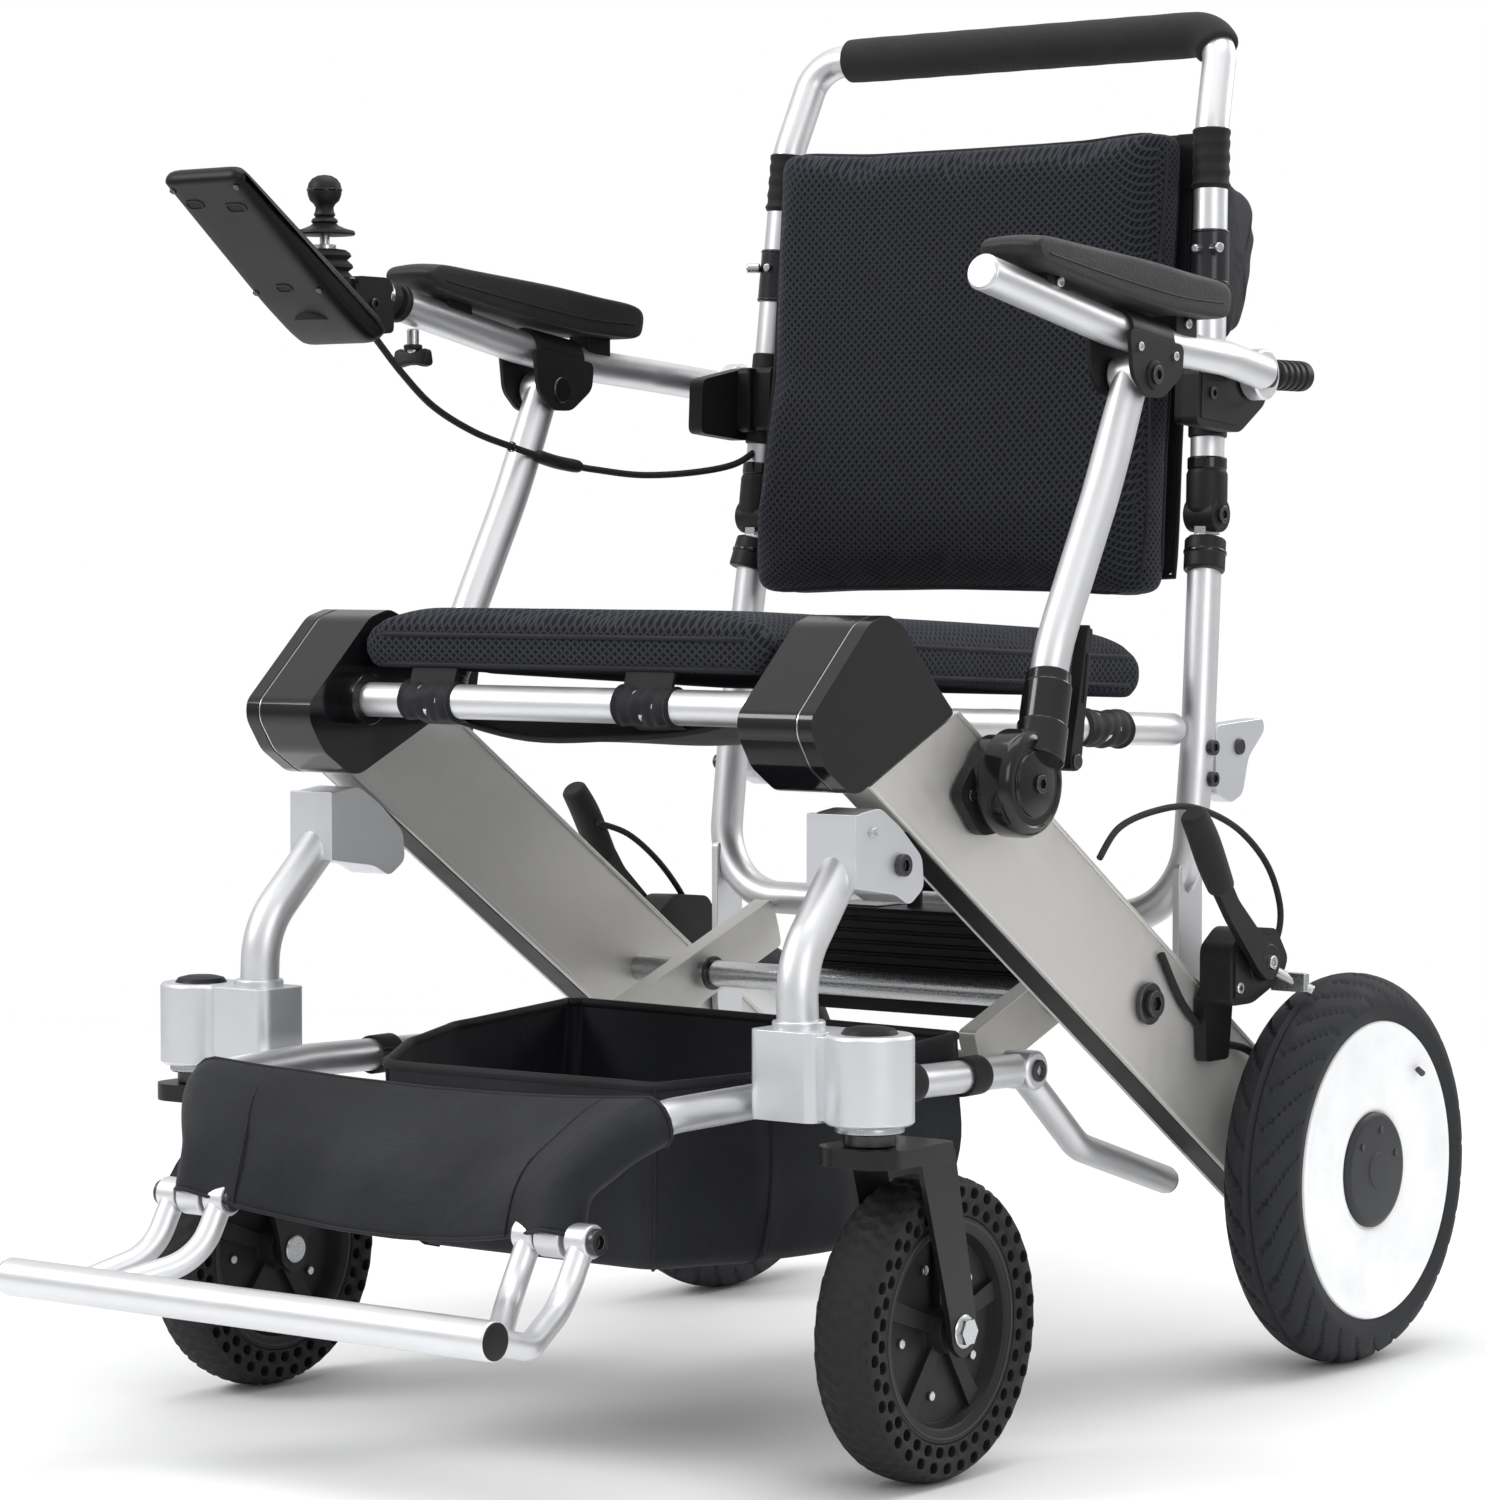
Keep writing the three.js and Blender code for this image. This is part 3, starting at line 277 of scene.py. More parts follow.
def bolt(x0, x1, y, z, r):
    """socket head: a disc with a hexagonal recess"""
    xo = x1; d = 1 if x1 > x0 else -1
    n = 24; v = []; f = []
    rings = [[(r * math.cos(2 * math.pi * k / n), r * math.sin(2 * math.pi * k / n)) for k in range(n)] for _ in range(2)]
    def rg(rad, x, hexa=False):
        out = []
        for k in range(n):
            a = 2 * math.pi * k / n; q = rad
            if hexa: q = rad * math.cos(math.pi / 6) / math.cos((a % (math.pi / 3)) - math.pi / 6)
            out.append((x, y + q * math.cos(a), z + q * math.sin(a)))
        return out
    for rr in (rg(r, x0), rg(r, x1 - d * 0.6), rg(r - 0.6, x1), rg(r * 0.55, x1, True), rg(r * 0.52, x1 - d * r * 0.45, True)): v += rr
    for i in range(4):
        for k in range(n): f.append((i * n + k, i * n + (k + 1) % n, (i + 1) * n + (k + 1) % n, (i + 1) * n + k))
    f.append(tuple(4 * n + k for k in range(n))); f.append(tuple(range(n)))
    return v, f
def loft(rings, caps=True, closed=False):
    n = len(rings[0]); v = [tuple(p) for r in rings for p in r]; f = []; m = len(rings)
    for i in range(m if closed else m - 1):
        for k in range(n): f.append((i * n + k, i * n + (k + 1) % n, ((i + 1) % m) * n + (k + 1) % n, ((i + 1) % m) * n + k))
    if caps and not closed: f.append(tuple(range(n))); f.append(tuple((m - 1) * n + k for k in range(n)))
    return v, f
def sheet(rows):
    n = len(rows[0]); v = [tuple(p) for r in rows for p in r]
    return v, [(i * n + k, i * n + k + 1, (i + 1) * n + k + 1, (i + 1) * n + k) for i in range(len(rows) - 1) for k in range(n - 1)]
def rot(vf, axis, deg, c):
    R = Matrix.Rotation(math.radians(deg), 3, axis if isinstance(axis, str) else Vector(axis)); C = Vector(c)
    return [tuple(C + R @ (Vector(p) - C)) for p in vf[0]], vf[1]
def move(vf, d): return [(p[0] + d[0], p[1] + d[1], p[2] + d[2]) for p in vf[0]], vf[1]

ALL = []
def emit(name, parts, body, s=1, bevel=None, replaces=(), sub=0, solid=0, weld=False, keep=False, angle=32):
    """parts: list of (geometry, material key). One object; s=-1 mirrors it in X."""
    verts = []; faces = []; mats = []; keys = []
    for vf, key in parts:
        if key not in keys: keys.append(key)
        o = len(verts); verts += [P(p[0] * s, p[1], p[2]) for p in vf[0]]
        faces += [tuple(i + o for i in fc) for fc in vf[1]]; mats += [keys.index(key)] * len(vf[1])
    me = bpy.data.meshes.new(name); me.from_pydata(verts, [], faces); me.update()
    for k in keys: me.materials.append(M[k])
    me.polygons.foreach_set("material_index", mats)
    bm = bmesh.new(); bm.from_mesh(me)
    if weld: bmesh.ops.remove_doubles(bm, verts=bm.verts, dist=1e-5)
    bmesh.ops.recalc_face_normals(bm, faces=bm.faces)
    bm.to_mesh(me); bm.free()
    me.polygons.foreach_set("use_smooth", [True] * len(me.polygons))
    ob = bpy.data.objects.new(name, me); bpy.context.scene.collection.objects.link(ob)
    if solid:
        m = ob.modifiers.new("solid", "SOLIDIFY"); m.thickness = solid / 1000; m.offset = 0
    if bevel:
        m = ob.modifiers.new("bevel", "BEVEL"); m.width = bevel / 1000; m.segments = 3; m.limit_method = "ANGLE"; m.angle_limit = math.radians(angle); m.harden_normals = False
    if sub:
        m = ob.modifiers.new("sub", "SUBSURF"); m.levels = sub; m.render_levels = sub
    if bevel or not sub:
        if not bevel: me.set_sharp_from_angle(angle=math.radians(38))
        m = ob.modifiers.new("wn", "WEIGHTED_NORMAL"); m.keep_sharp = True; m.weight = 60
    if replaces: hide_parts(*replaces)
    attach(ob, body); ALL.append(ob)
    return ob
SIDES = (("left", 1), ("right", -1))

# ------------------------------------------------------------------ side beams, end caps, seat frame
AX = (300.0, 138.0); BD = (0.8342, -0.5514)
def BP(s, h): return (AX[0] - BD[0] * s - BD[1] * h * -1 * -1, 0)
nyz = (-BD[1], BD[0])
def beam_pt(s, h): return (AX[0] - BD[0] * s + nyz[0] * h, AX[1] + 0.5 - BD[1] * s + nyz[1] * h)
def cut_at(h):
    (ay, az), (by, bz) = (-233.5, 423.2), (-129.5, 469.8)
    p = beam_pt(0, h); d = (-BD[0], -BD[1]); e = (by - ay, bz - az)
    t = ((ay - p[0]) * e[1] - (az - p[1]) * e[0]) / (d[0] * e[1] - d[1] * e[0])
    return (p[0] + d[0] * t, p[1] + d[1] * t)
H = 46.0
def beam_ring(i):
    """beam outline, inset by i"""
    h = H - i
    return [beam_pt(-10 + i * .4, -h), beam_pt(-26 + i, -30), beam_pt(-34 + i, -8), beam_pt(-34 + i, 14), beam_pt(-22 + i, 36 - i * .6), beam_pt(-8 + i * .4, h), cut_at(h), cut_at(-h)]
CAP = [(-286.5, 462), (-286.5, 474), (-226, 530), (-206, 535.5), (-189, 529), (-166, 503), (-131.2, 471.5), (-235.3, 424.9), (-247, 425.5), (-272, 441)]
def inset(o, d):
    """moves each corner of a closed outline inwards by d"""
    n = len(o); area = sum(o[k][0] * o[(k + 1) % n][1] - o[(k + 1) % n][0] * o[k][1] for k in range(n)); sg = 1 if area > 0 else -1; out = []
    for k in range(n):
        p0, p1, p2 = Vector(o[k - 1]), Vector(o[k]), Vector(o[(k + 1) % n])
        a = (p1 - p0).normalized(); b = (p2 - p1).normalized(); na = Vector((-a.y, a.x)) * sg; nb = Vector((-b.y, b.x)) * sg
        m = na + nb; m = m / max(m.length_squared, 0.2) * 2 if m.length > 1e-6 else na
        out.append(tuple(p1 + m * d))
    return out
def soften(o, r=7, n=4, closed=True):
    """rounds the corners of a closed outline"""
    m = len(o); out = []
    for k in range(m):
        p0, p1, p2 = Vector(o[k - 1]), Vector(o[k]), Vector(o[(k + 1) % m])
        a = (p0 - p1); b = (p2 - p1); d = min(r, a.length * 0.45, b.length * 0.45); A = p1 + a.normalized() * d; B = p1 + b.normalized() * d
        for j in range(n + 1):
            t = j / n; out.append(tuple(A * (1 - t) ** 2 + p1 * 2 * t * (1 - t) + B * t * t))
    return out
SEATPATH = [(190, 205, 449.5), (190, -90, 461.5), (190, -241, 475.5), (-190, -241, 475.5), (-190, -90, 461.5), (-190, 205, 449.5)]
emit("seat_frame_tube", [(sweep(rounded(SEATPATH, [0, 26, 26, 0]), 11.5, 36), "tube")], "base_frame", replaces=["seat_frame"])
for side, s in SIDES:
    o = beam_ring(0)
    parts = [(prism(o, 206.6, 230.4), "beam")]
    # raised rims along the outer and inner faces, with a shallow field between them
    for x0, x1 in ((230.2, 232), (205, 206.8)):
        a, b = (beam_ring(0), beam_ring(3.2)); n = len(a)
        ro = [(x0, *p) for p in a] + [(x1, *p) for p in a] + [(x0, *p) for p in b] + [(x1, *p) for p in b]; fc = []
        for k in range(n):
            j = (k + 1) % n; fc += [(k, j, n + j, n + k), (2 * n + k, 3 * n + k, 3 * n + j, 2 * n + j), (n + k, n + j, 3 * n + j, 3 * n + k), (k, 2 * n + k, 2 * n + j, j)]
        parts.append(((ro, fc), "beam"))
    emit(f"beam_body_{side}", parts, "base_frame", s, bevel=0.9, replaces=[f"side_beam_{side}"])
    # dark strip along the lower edge: painted shade standing in for the beam's shadowed underside
    emit(f"beam_underside_shade_strip_{side}", [(prism([beam_pt(20, -46.6), beam_pt(540, -46.6), beam_pt(540, -44.6), beam_pt(20, -44.6)], 209, 228), "matte")], "base_frame", s, bevel=0.4)
    cap = soften(CAP, 5, 3)
    parts = [(prism(cap, 177, 221.5), "gloss"), (prism(inset(cap, 1.5), 220, 225), "matte"), (prism(cap, 223.2, 234), "gloss"), (sweep([(163, -241, 475.5), (178, -241, 475.5)], 17.5, 36), "gloss")]
    emit(f"end_cap_shell_{side}", parts, "base_frame", s, bevel=1.7, replaces=[f"end_cap_{side}"])
    # bright steel line in the groove between the two halves: a painted highlight standing in for the light caught on
    # the cap's edge
    emit(f"end_cap_highlight_line_{side}", [(prism(inset(cap, 0.45), 221.9, 222.7), "steel")], "base_frame", s)
    # pivot shaft ends
    emit(f"shaft_head_{side}", [(disc(232.2, 236, 14.5, 105, 267.4), "darksteel"), (bolt(235.5, 240.5, 105, 267.4, 9.5), "darksteel")], "base_frame", s, bevel=0.5)
emit("pivot_shaft_bar", [(disc(-232, 232, 9.6, 105, 267.4), "steel")] + [(disc(x, x + 4, 12.5, 105, 267.4), "darksteel") for x in (-162, -140, 136, 158)], "base_frame", replaces=["pivot_shaft"])

# ------------------------------------------------------------------ lower back frame
LB = [(197, 237, 585), (203, 218, 445), (203, 201, 316), (-203, 201, 316), (-203, 218, 445), (-197, 237, 585)]
parts = [(sweep(rounded(LB, [90, 55, 55, 90], 6), 12, 36), "tube")]
for s in (1, -1):
    x = s * 197
    parts += [(box(x - 4.6, x + 4.6, 228.5, 248.5, 578, 600), "steel"), (disc(x - 4.6, x + 4.6, 10.6, 238, 600), "steel")]
    e = [(191, 356), (191, 232), (200, 214), (214, 208), (222, 214), (222, 356)]
    parts.append((prism(soften(e, 5, 3), *((199, 204.6) if s > 0 else (-204.6, -199))), "tube"))
emit("lower_back_tube", parts, "base_frame", bevel=0.6, replaces=["lower_back_frame"])
for side, s in SIDES:
    # two bolts in the post, and the cast wedge behind it
    b = [(sweep([(216.5, 216, z), (213, 216, z)], 5.2, 20), "darksteel") for z in (437, 415)] + [(bolt(214.5, 219, 216, z, 5.6), "darksteel") for z in (437, 415)]
    emit(f"post_bolts_{side}", b, "base_frame", s, bevel=0.35)
    w = soften([(231, 452), (296, 455), (298, 446), (276, 428), (268, 402), (252, 396), (232, 404)], 5, 3)
    emit(f"rear_bracket_{side}", [(prism(w, 196, 210), "cast"), (disc(209, 212.5, 6, 262, 436), "darksteel")], "base_frame", s, bevel=1.6)

# ------------------------------------------------------------------ battery and tray
emit("battery_tray_shell", [(prism([(115.6, 247), (188.2, 247), (188.2, 300), (185.6, 300), (185.6, 249.6), (118.2, 249.6), (118.2, 272), (115.6, 272)], -68, 140), "powder")], "base_frame", bevel=0.7, replaces=["battery_tray"])
def rrect(x0, x1, y0, y1, r, n=5):
    out = []
    for cx, cy, a0 in ((x1 - r, y1 - r, 0), (x0 + r, y1 - r, 90), (x0 + r, y0 + r, 180), (x1 - r, y0 + r, 270)):
        for k in range(n + 1):
            a = math.radians(a0 + 90 * k / n); out.append((cx + r * math.cos(a), cy + r * math.sin(a)))
    return out
rings = []
def brect(i, z): return [(x, y, z) for x, y in rrect(-63 + i, 135 - i, 119 + i, 184.4 - i, max(1.5, 8 - i))]
zz = 250.2; rings += [brect(2, zz), brect(0.6, zz + 2)]
for k in range(7):
    a = 256 + k * 8.2; rings += [brect(0.3, a), brect(0.3, a + 5.2), brect(1.9, a + 5.9), brect(1.9, a + 7.5)]
rings += [brect(0.3, 314), brect(0.3, 317.2), brect(2.2, 320)]
parts = [(loft(rings), "matte"), (sweep(rounded([(9, 150, 318), (9, 150, 337), (63, 150, 337), (63, 150, 318)], [7, 7]), 5.6, 20), "matte"), (box(70, 118, 126, 172, 319.4, 321), "label"), (box(-50, -8, 126, 172, 319.4, 321.4), "gloss")]
emit("battery_case", parts, "battery_pack", bevel=0.5, replaces=["battery"])

# ------------------------------------------------------------------ rear wheels
def arc_prof(cx, r, x0, x1, n): return [(cx, x0)]
for side, s in SIDES:
    wx, (ay, az) = 277.0, AX
    # tyre: round-shouldered carcass with curved grooves cut into it
    n = 360; prof = []
    for k in range(41):
        a = math.radians(-128 + 256 * k / 40); prof.append((115.5 + 22.5 * math.cos(a), 28.5 * math.sin(a) * (1.0 if abs(math.degrees(a)) < 90 else 0.97)))
    base = prof; verts = []; faces = []; m = len(base)
    for k in range(n):
        th = 2 * math.pi * k / n
        for j, (r, a) in enumerate(base):
            lat = a / 28.5; g = 0.0
            if r > 117:
                # one circumferential groove and slanted curved sipes on the shoulders
                for c, w in ((0.0, 0.05),): g = max(g, 1 - abs(lat - c) / w if abs(lat - c) < w else 0)
                ph = (th * 30 / (2 * math.pi) + 1.9 * max(0.0, abs(lat) - 0.15) ** 1.4 + (0.5 if lat > 0 else 0)) % 1
                if 0.14 < abs(lat) < 0.985: g = max(g, 1.0 if ph < 0.17 else 0.0)
            rr = r - 2.6 * min(1.0, g * 1.4)
            verts.append((wx + a, ay + rr * math.cos(th), az + rr * math.sin(th)))
    for k in range(n):
        for j in range(m - 1): faces.append((k * m + j, k * m + j + 1, ((k + 1) % n) * m + j + 1, ((k + 1) % n) * m + j))
    wall = [(lathe([(106.4, x), (111, x + d * 1.6), (114.5, x + d * 0.6)], (wx, ay, az), "X", 96), "tyre") for x, d in ((20.5, 1), (-20.5, -1))]
    emit(f"rear_tyre_tread_{side}", [((verts, faces), "tyre"), (lathe([(115.5 + 22.4 * math.cos(math.radians(128)), -21.6), (106.3, -21.6), (106.3, 21.6), (115.5 + 22.4 * math.cos(math.radians(128)), 21.6)], (wx, ay, az), "X", 96), "tyre")] + wall, f"rear_wheel_{side}_body", s, replaces=[f"rear_tyre_{side}"])
    # white disc with a rolled rim, a shallow dish and a stepped boss
    pr = [(0, 20.5), (41.5, 20.5), (42.5, 21.5), (46, 22.6), (49, 21.6), (52, 20.8), (86, 21.2), (92, 22.2), (97.5, 25.2), (101.5, 26.6), (104.5, 26.0), (106.1, 23.4), (106.1, -21), (100, -21), (98, -15), (60, -15.6), (52, -17.6), (52, 0), (8.6, 0)]
    emit(f"wheel_disc_{side}", [(lathe(pr, (wx, ay, az), "X", 96), "white")], f"rear_wheel_{side}_body", s, replaces=[f"rear_wheel_{side}"], keep=True)
    cp = [(0, 26.4), (12, 26.3), (12.6, 25.5), (36, 25.0), (38.6, 24.6), (40.6, 22.8), (41.0, 20.2)]
    screws = [(disc(25.0, 26.3, 2.6, 28 * math.cos(math.radians(60 * k + 20)), 28 * math.sin(math.radians(60 * k + 20)), 14, 0.4)) for k in range(3)]
    emit(f"hub_cap_{side}", [(lathe(cp, (wx, ay, az), "X", 72), "hubgrey")] + [(move(q, (wx, ay, az)), "darksteel") for q in screws], f"rear_wheel_{side}_body", s)
    emit(f"valve_{side}", [(sweep([(wx + 24, ay + 60, az + 66), (wx + 30, ay + 57, az + 63)], 2.3, 14), "darksteel")], f"rear_wheel_{side}_body", s)
    # motor: ribbed drum inside the wheel
    mp = [(0, -44.5), (30, -44.5), (33, -43.4)]
    for k in range(5): mp += [(34 + k * 3.1, -43.2 + k * 0.7), (35.6 + k * 3.1, -41.6 + k * 0.7)]
    mp += [(49.4, -38.5), (50, -36), (50, -2), (8, -1.5), (8, 12), (0, 12)]
    emit(f"motor_housing_{side}", [(lathe(mp, (wx, ay, az), "X", 72), "powder")] + [(move(disc(-46.2, -44.2, 3.2, 24 * math.cos(math.radians(72 * k)), 24 * math.sin(math.radians(72 * k)), 16, .4), (wx, ay, az)), "steel") for k in range(5)], "base_frame", s, replaces=[f"hub_motor_{side}"])

    # parking brake
    body = soften([(166, 262), (196, 262), (236, 276), (245, 290), (228, 312), (186, 315), (166, 302)], 6, 4)
    foot = soften([(168, 222), (198, 222), (204, 268), (166, 268)], 4, 3)
    emit(f"brake_body_{side}", [(prism(body, 236.5, 261), "matte"), (prism(foot, 232.4, 241), "powder"), (disc(255, 262.6, 15, 205, 290), "matte"), (bolt(260.5, 264, 176, 274, 4.2), "steel"), (bolt(260.5, 264, 182, 305, 4.2), "steel"), (prism(inset(body, 5), 260.5, 262.2), "powder")], "base_frame", s, bevel=1.3, replaces=[f"brake_housing_{side}"])
    arm = soften([(207, 280), (214, 296), (200, 305), (162, 336), (134, 372), (127, 382), (112, 374), (118, 362), (152, 322), (192, 283)], 4, 3)
    gp = catmull([(268, 142, 345), (268, 130, 362), (268, 117, 382), (268, 104, 398)], 6)
    gr = [9.2 + 1.5 * math.sin(math.pi * min(1, k / (len(gp) - 1) * 1.0)) for k in range(len(gp))]; gr[-1] = 8.2
    emit(f"brake_arm_{side}", [(prism(arm, 264.6, 270.2), "powder"), (disc(263.4, 270.4, 13, 205, 290), "powder"), (bolt(270.2, 273.4, 205, 290, 5), "steel")], f"brake_lever_{side}_body", s, bevel=0.8, replaces=[f"brake_lever_{side}"])
    emit(f"brake_grip_{side}", [(sweep(gp, gr, 28), "foam")], f"brake_lever_{side}_body", s, bevel=0.6)
    emit(f"brake_shoe_{side}", [(box(256, 283, 229, 236, 268, 281), "steel"), (sweep([(258, 226, 283), (285, 238, 268)], 4, 16), "steel")], "base_frame", s, bevel=0.7)

# ------------------------------------------------------------------ lower front frame
SX = 187.0
parts = []
for k in (1, -1):
    parts.append((sweep(rounded([(k * SX, 20, 227), (k * SX, -280, 235), (k * (SX - 5), -384, 233), (k * 147.5, -417, 196), (k * 147, -426, 164)], [0, 60, 30, 20], 6), 11, 32), "tube"))
    parts.append((sweep(rounded([(k * SX, 14, 229), (k * SX, 88, 168), (k * SX, 204, 132)], 45, 6), 10, 32), "tube"))
    parts.append((disc(k * 147 - 9.5, k * 147 + 9.5, 12, -426, 164), "tube"))
    parts.append((disc(k * SX - 12.2, k * SX + 12.2, 13.4, 20, 227, 40, 1.6), "tube"))
    w = 19; b = (0.94, 0.342); nn = (-0.342, 0.94)
    at = lambda t, h: (105 + b[0] * t + nn[0] * h, 267.4 + b[1] * t + nn[1] * h)
    web = [at(-100, -w)] + [(105 + 93 * math.cos(math.radians(a)), 267.4 + 93 * math.sin(math.radians(a))) for a in np.linspace(8.4, 31.6, 7)] + [at(-100, w)]
    parts.append((prism(soften(web, 4, 2), *((144, 158) if k > 0 else (-158, -144))), "beam"))
parts.append((sweep([(-SX, 20, 227), (SX, 20, 227)], 10, 32), "tube"))
emit("front_frame_tubes", parts, "front_frame_body", bevel=0.7, replaces=["front_frame"])
for side, s in SIDES:
    emit(f"bar_plug_{side}", [(sweep([(SX, 203.5, 132.1), (SX, 206.5, 131.2)], 9.2, 28), "matte"), (bolt(197.4, 201.5, 20, 227, 7.5), "darksteel"), (bolt(197.4, 201, -236, 234, 5.2), "darksteel"), (bolt(197.4, 201, -150, 232, 5.2), "darksteel")], "front_frame_body", s, bevel=0.5)

    # caster leg: clamp box, round lobe, leg tube, stop block with its flange
    x, y = 277.0, -286.0
    box_o = rrect(200, 252, -308, -264, 9)
    lobe = [(r, z) for r, z in ((0, 228), (26, 228), (27.5, 229.6), (27.5, 281), (25.9, 283), (0, 283))]
    leg = rounded([(224, -286, 262), (222, -286, 322), (216, -224, 385)], 55, 5)
    blk = soften([(-238, 412), (-240, 366), (-196, 360), (-180, 352), (-164, 362), (-166, 382), (-190, 402), (-212, 415)], 5, 3)
    parts = [(prism(box_o, 228, 283, "Z"), "cast"), (lathe(lobe, (x, y, 0), "Z", 56), "cast"), (box(246, 262, -304, -268, 230, 281), "cast"), (sweep(leg, 13, 36), "tube"), (drum(224, -286, 281, 288, 16.5), "cast"), (prism(blk, 200, 233), "cast"),
             (box(197.6, 235.4, -242, -236.5, 366, 412), "cast"), (bolt(233, 237.6, -190, 378, 7.2), "darksteel"), (bolt(233, 236.4, -222, 400, 3.4), "steel")]
    emit(f"caster_leg_body_{side}", parts, "front_frame_body", s, bevel=1.5, replaces=[f"caster_leg_{side}"])
    emit(f"caster_cap_{side}", [(lathe([(0, 287.6), (10, 287.4), (15.5, 286), (17.4, 283.4), (17.4, 282.4)], (x, y, 0), "Z", 44), "matte"), (bolt(252.0, 255.4, -286, 256, 5.0), "darksteel")], "front_frame_body", s)

    # swivelling fork
    ya = -225.0; R = 96.0
    parts = [(lathe([(12.6, 227.6), (20.6, 227.4), (21.2, 226.4), (21.2, 223.8), (20.4, 222.9), (12.6, 222.9)], (x, y, 0), "Z", 44, True), "steel"), (drum(x, y, 215, 224, 16.2), "darksteel"), (hexnut((x, y, 215.4), 15.2, 5.4, "Z"), "steel")]
    crown = soften([(x - 29, y - 14), (x - 16, y - 25), (x + 16, y - 25), (x + 28.5, y - 14), (x + 28.5, y + 52), (x - 29, y + 52)], 7, 3)
    parts.append((prism(crown, 203.4, 214.8, "Z"), "powder"))
    bl = soften([(-274, 213), (-236, 213), (ya + 13, 104), (ya + 12, 86), (ya, 78), (ya - 12, 86), (ya - 15, 104)], 6, 4)
    parts += [(prism(bl, x - 28.8, x - 24.6), "powder"), (prism(bl, x + 24.6, x + 28.3), "powder"), (disc(x - 26, x + 26, 5, ya, R), "steel"), (hexnut((x + 28.0, ya, R), 8.6, 5.0), "steel"), (disc(x + 28.0, x + 29.4, 10.5, ya, R), "steel"), (disc(x - 30.6, x - 28.4, 9.5, ya, R), "steel"), (drum(x, y, 222, 258, 11.5), "steel")]
    emit(f"fork_{side}", parts, f"caster_fork_{side}_body", s, bevel=1.0, replaces=[f"caster_fork_{side}"])

    # honeycomb tyre: tread band, and side walls pierced by two staggered rings of cells
    prof = [(89.6, -20.4), (91.6, -18.2), (93.6, -14.8), (95.0, -9.4), (95.8, -3.4), (95.8, 3.4), (95.0, 9.4), (93.6, 14.8), (91.6, 18.2), (89.6, 20.4)]
    v = []; f = []; NA = 216; bm_prof = []
    for a, b2 in zip(prof[:-1], prof[1:]): bm_prof += [(a[0] + (b2[0] - a[0]) * t, a[1] + (b2[1] - a[1]) * t) for t in (0, 0.5)]
    bm_prof.append(prof[-1]); mm_ = len(bm_prof)
    for k in range(NA):
        th = 2 * math.pi * k / NA
        for r, a in bm_prof:
            g = 0
            if r > 91.0:
                q = th * 54 / (2 * math.pi) * 1.0; lat = a / 6.0
                u1 = (q + lat * 0.5) % 1.0; u2 = (q - lat * 0.5) % 1.0
                g = 1.5 if (u1 < 0.25 or u2 < 0.25) else 0
            rr = r - g; v.append((x + a, ya + rr * math.cos(th), R + rr * math.sin(th)))
    for k in range(NA):
        for j in range(mm_ - 1): f.append((k * mm_ + j, k * mm_ + j + 1, ((k + 1) % NA) * mm_ + j + 1, ((k + 1) % NA) * mm_ + j))
    wx_ = lambda r: 18.6 + (min(r, 84) - 70.4) / 13.6 * 2.9 - max(0, r - 84) * 0.2
    V = []; F = []; FV = []; FF = []
    quad = [(-1, -1), (-1/3, -1), (1/3, -1), (1, -1), (1, -1/3), (1, 1/3), (1, 1), (1/3, 1), (-1/3, 1), (-1, 1), (-1, 1/3), (-1, -1/3)]
    for d in (1, -1):
        for r0, r1, num, rc, off in ((70.4, 80.4, 36, 3.7, 0.0), (80.4, 89.7, 36, 3.7, 0.5)):
            rm = (r0 + r1) / 2; hr = (r1 - r0) / 2; hth = math.pi / num
            for k in range(num):
                tc = 2 * math.pi * (k + off) / num; o2 = len(V)
                pq = lambda r, th, xx: (x + d * xx, ya + r * math.cos(th), R + r * math.sin(th))
                for a, b2 in quad: V.append(pq(rm + b2 * hr, tc + a * hth, wx_(rm + b2 * hr)))
                for kk, dep in ((rc + 0.5, 0.0), (rc, -0.5), (rc * 0.94, -9.5)):
                    for a, b2 in quad:
                        an = math.atan2(b2, a); V.append(pq(rm + kk * math.sin(an), tc + kk * 1.12 * math.cos(an) / rm, wx_(rm) + dep))
                for q in range(3):
                    for j in range(12): F.append((o2 + q * 12 + j, o2 + q * 12 + (j + 1) % 12, o2 + (q + 1) * 12 + (j + 1) % 12, o2 + (q + 1) * 12 + j))
        FV_, FF_ = lathe([(70.4, d * 10), (89.7, d * 10)], (x, ya, R), "X", 72); o3 = len(FV); FV += FV_; FF += [tuple(i_ + o3 for i_ in q) for q in FF_]
    emit(f"honeycomb_tyre_{side}", [((v, f), "caster"), (lathe([(70.2, -18.6), (70.2, 18.6)], (x, ya, R), "X", 72), "caster")], f"caster_wheel_{side}_body", s, replaces=[f"caster_tyre_{side}"])
    emit(f"tyre_cells_{side}", [((V, F), "caster")], f"caster_wheel_{side}_body", s)
    emit(f"tyre_cell_floor_{side}", [((FV, FF), "cable")], f"caster_wheel_{side}_body", s)
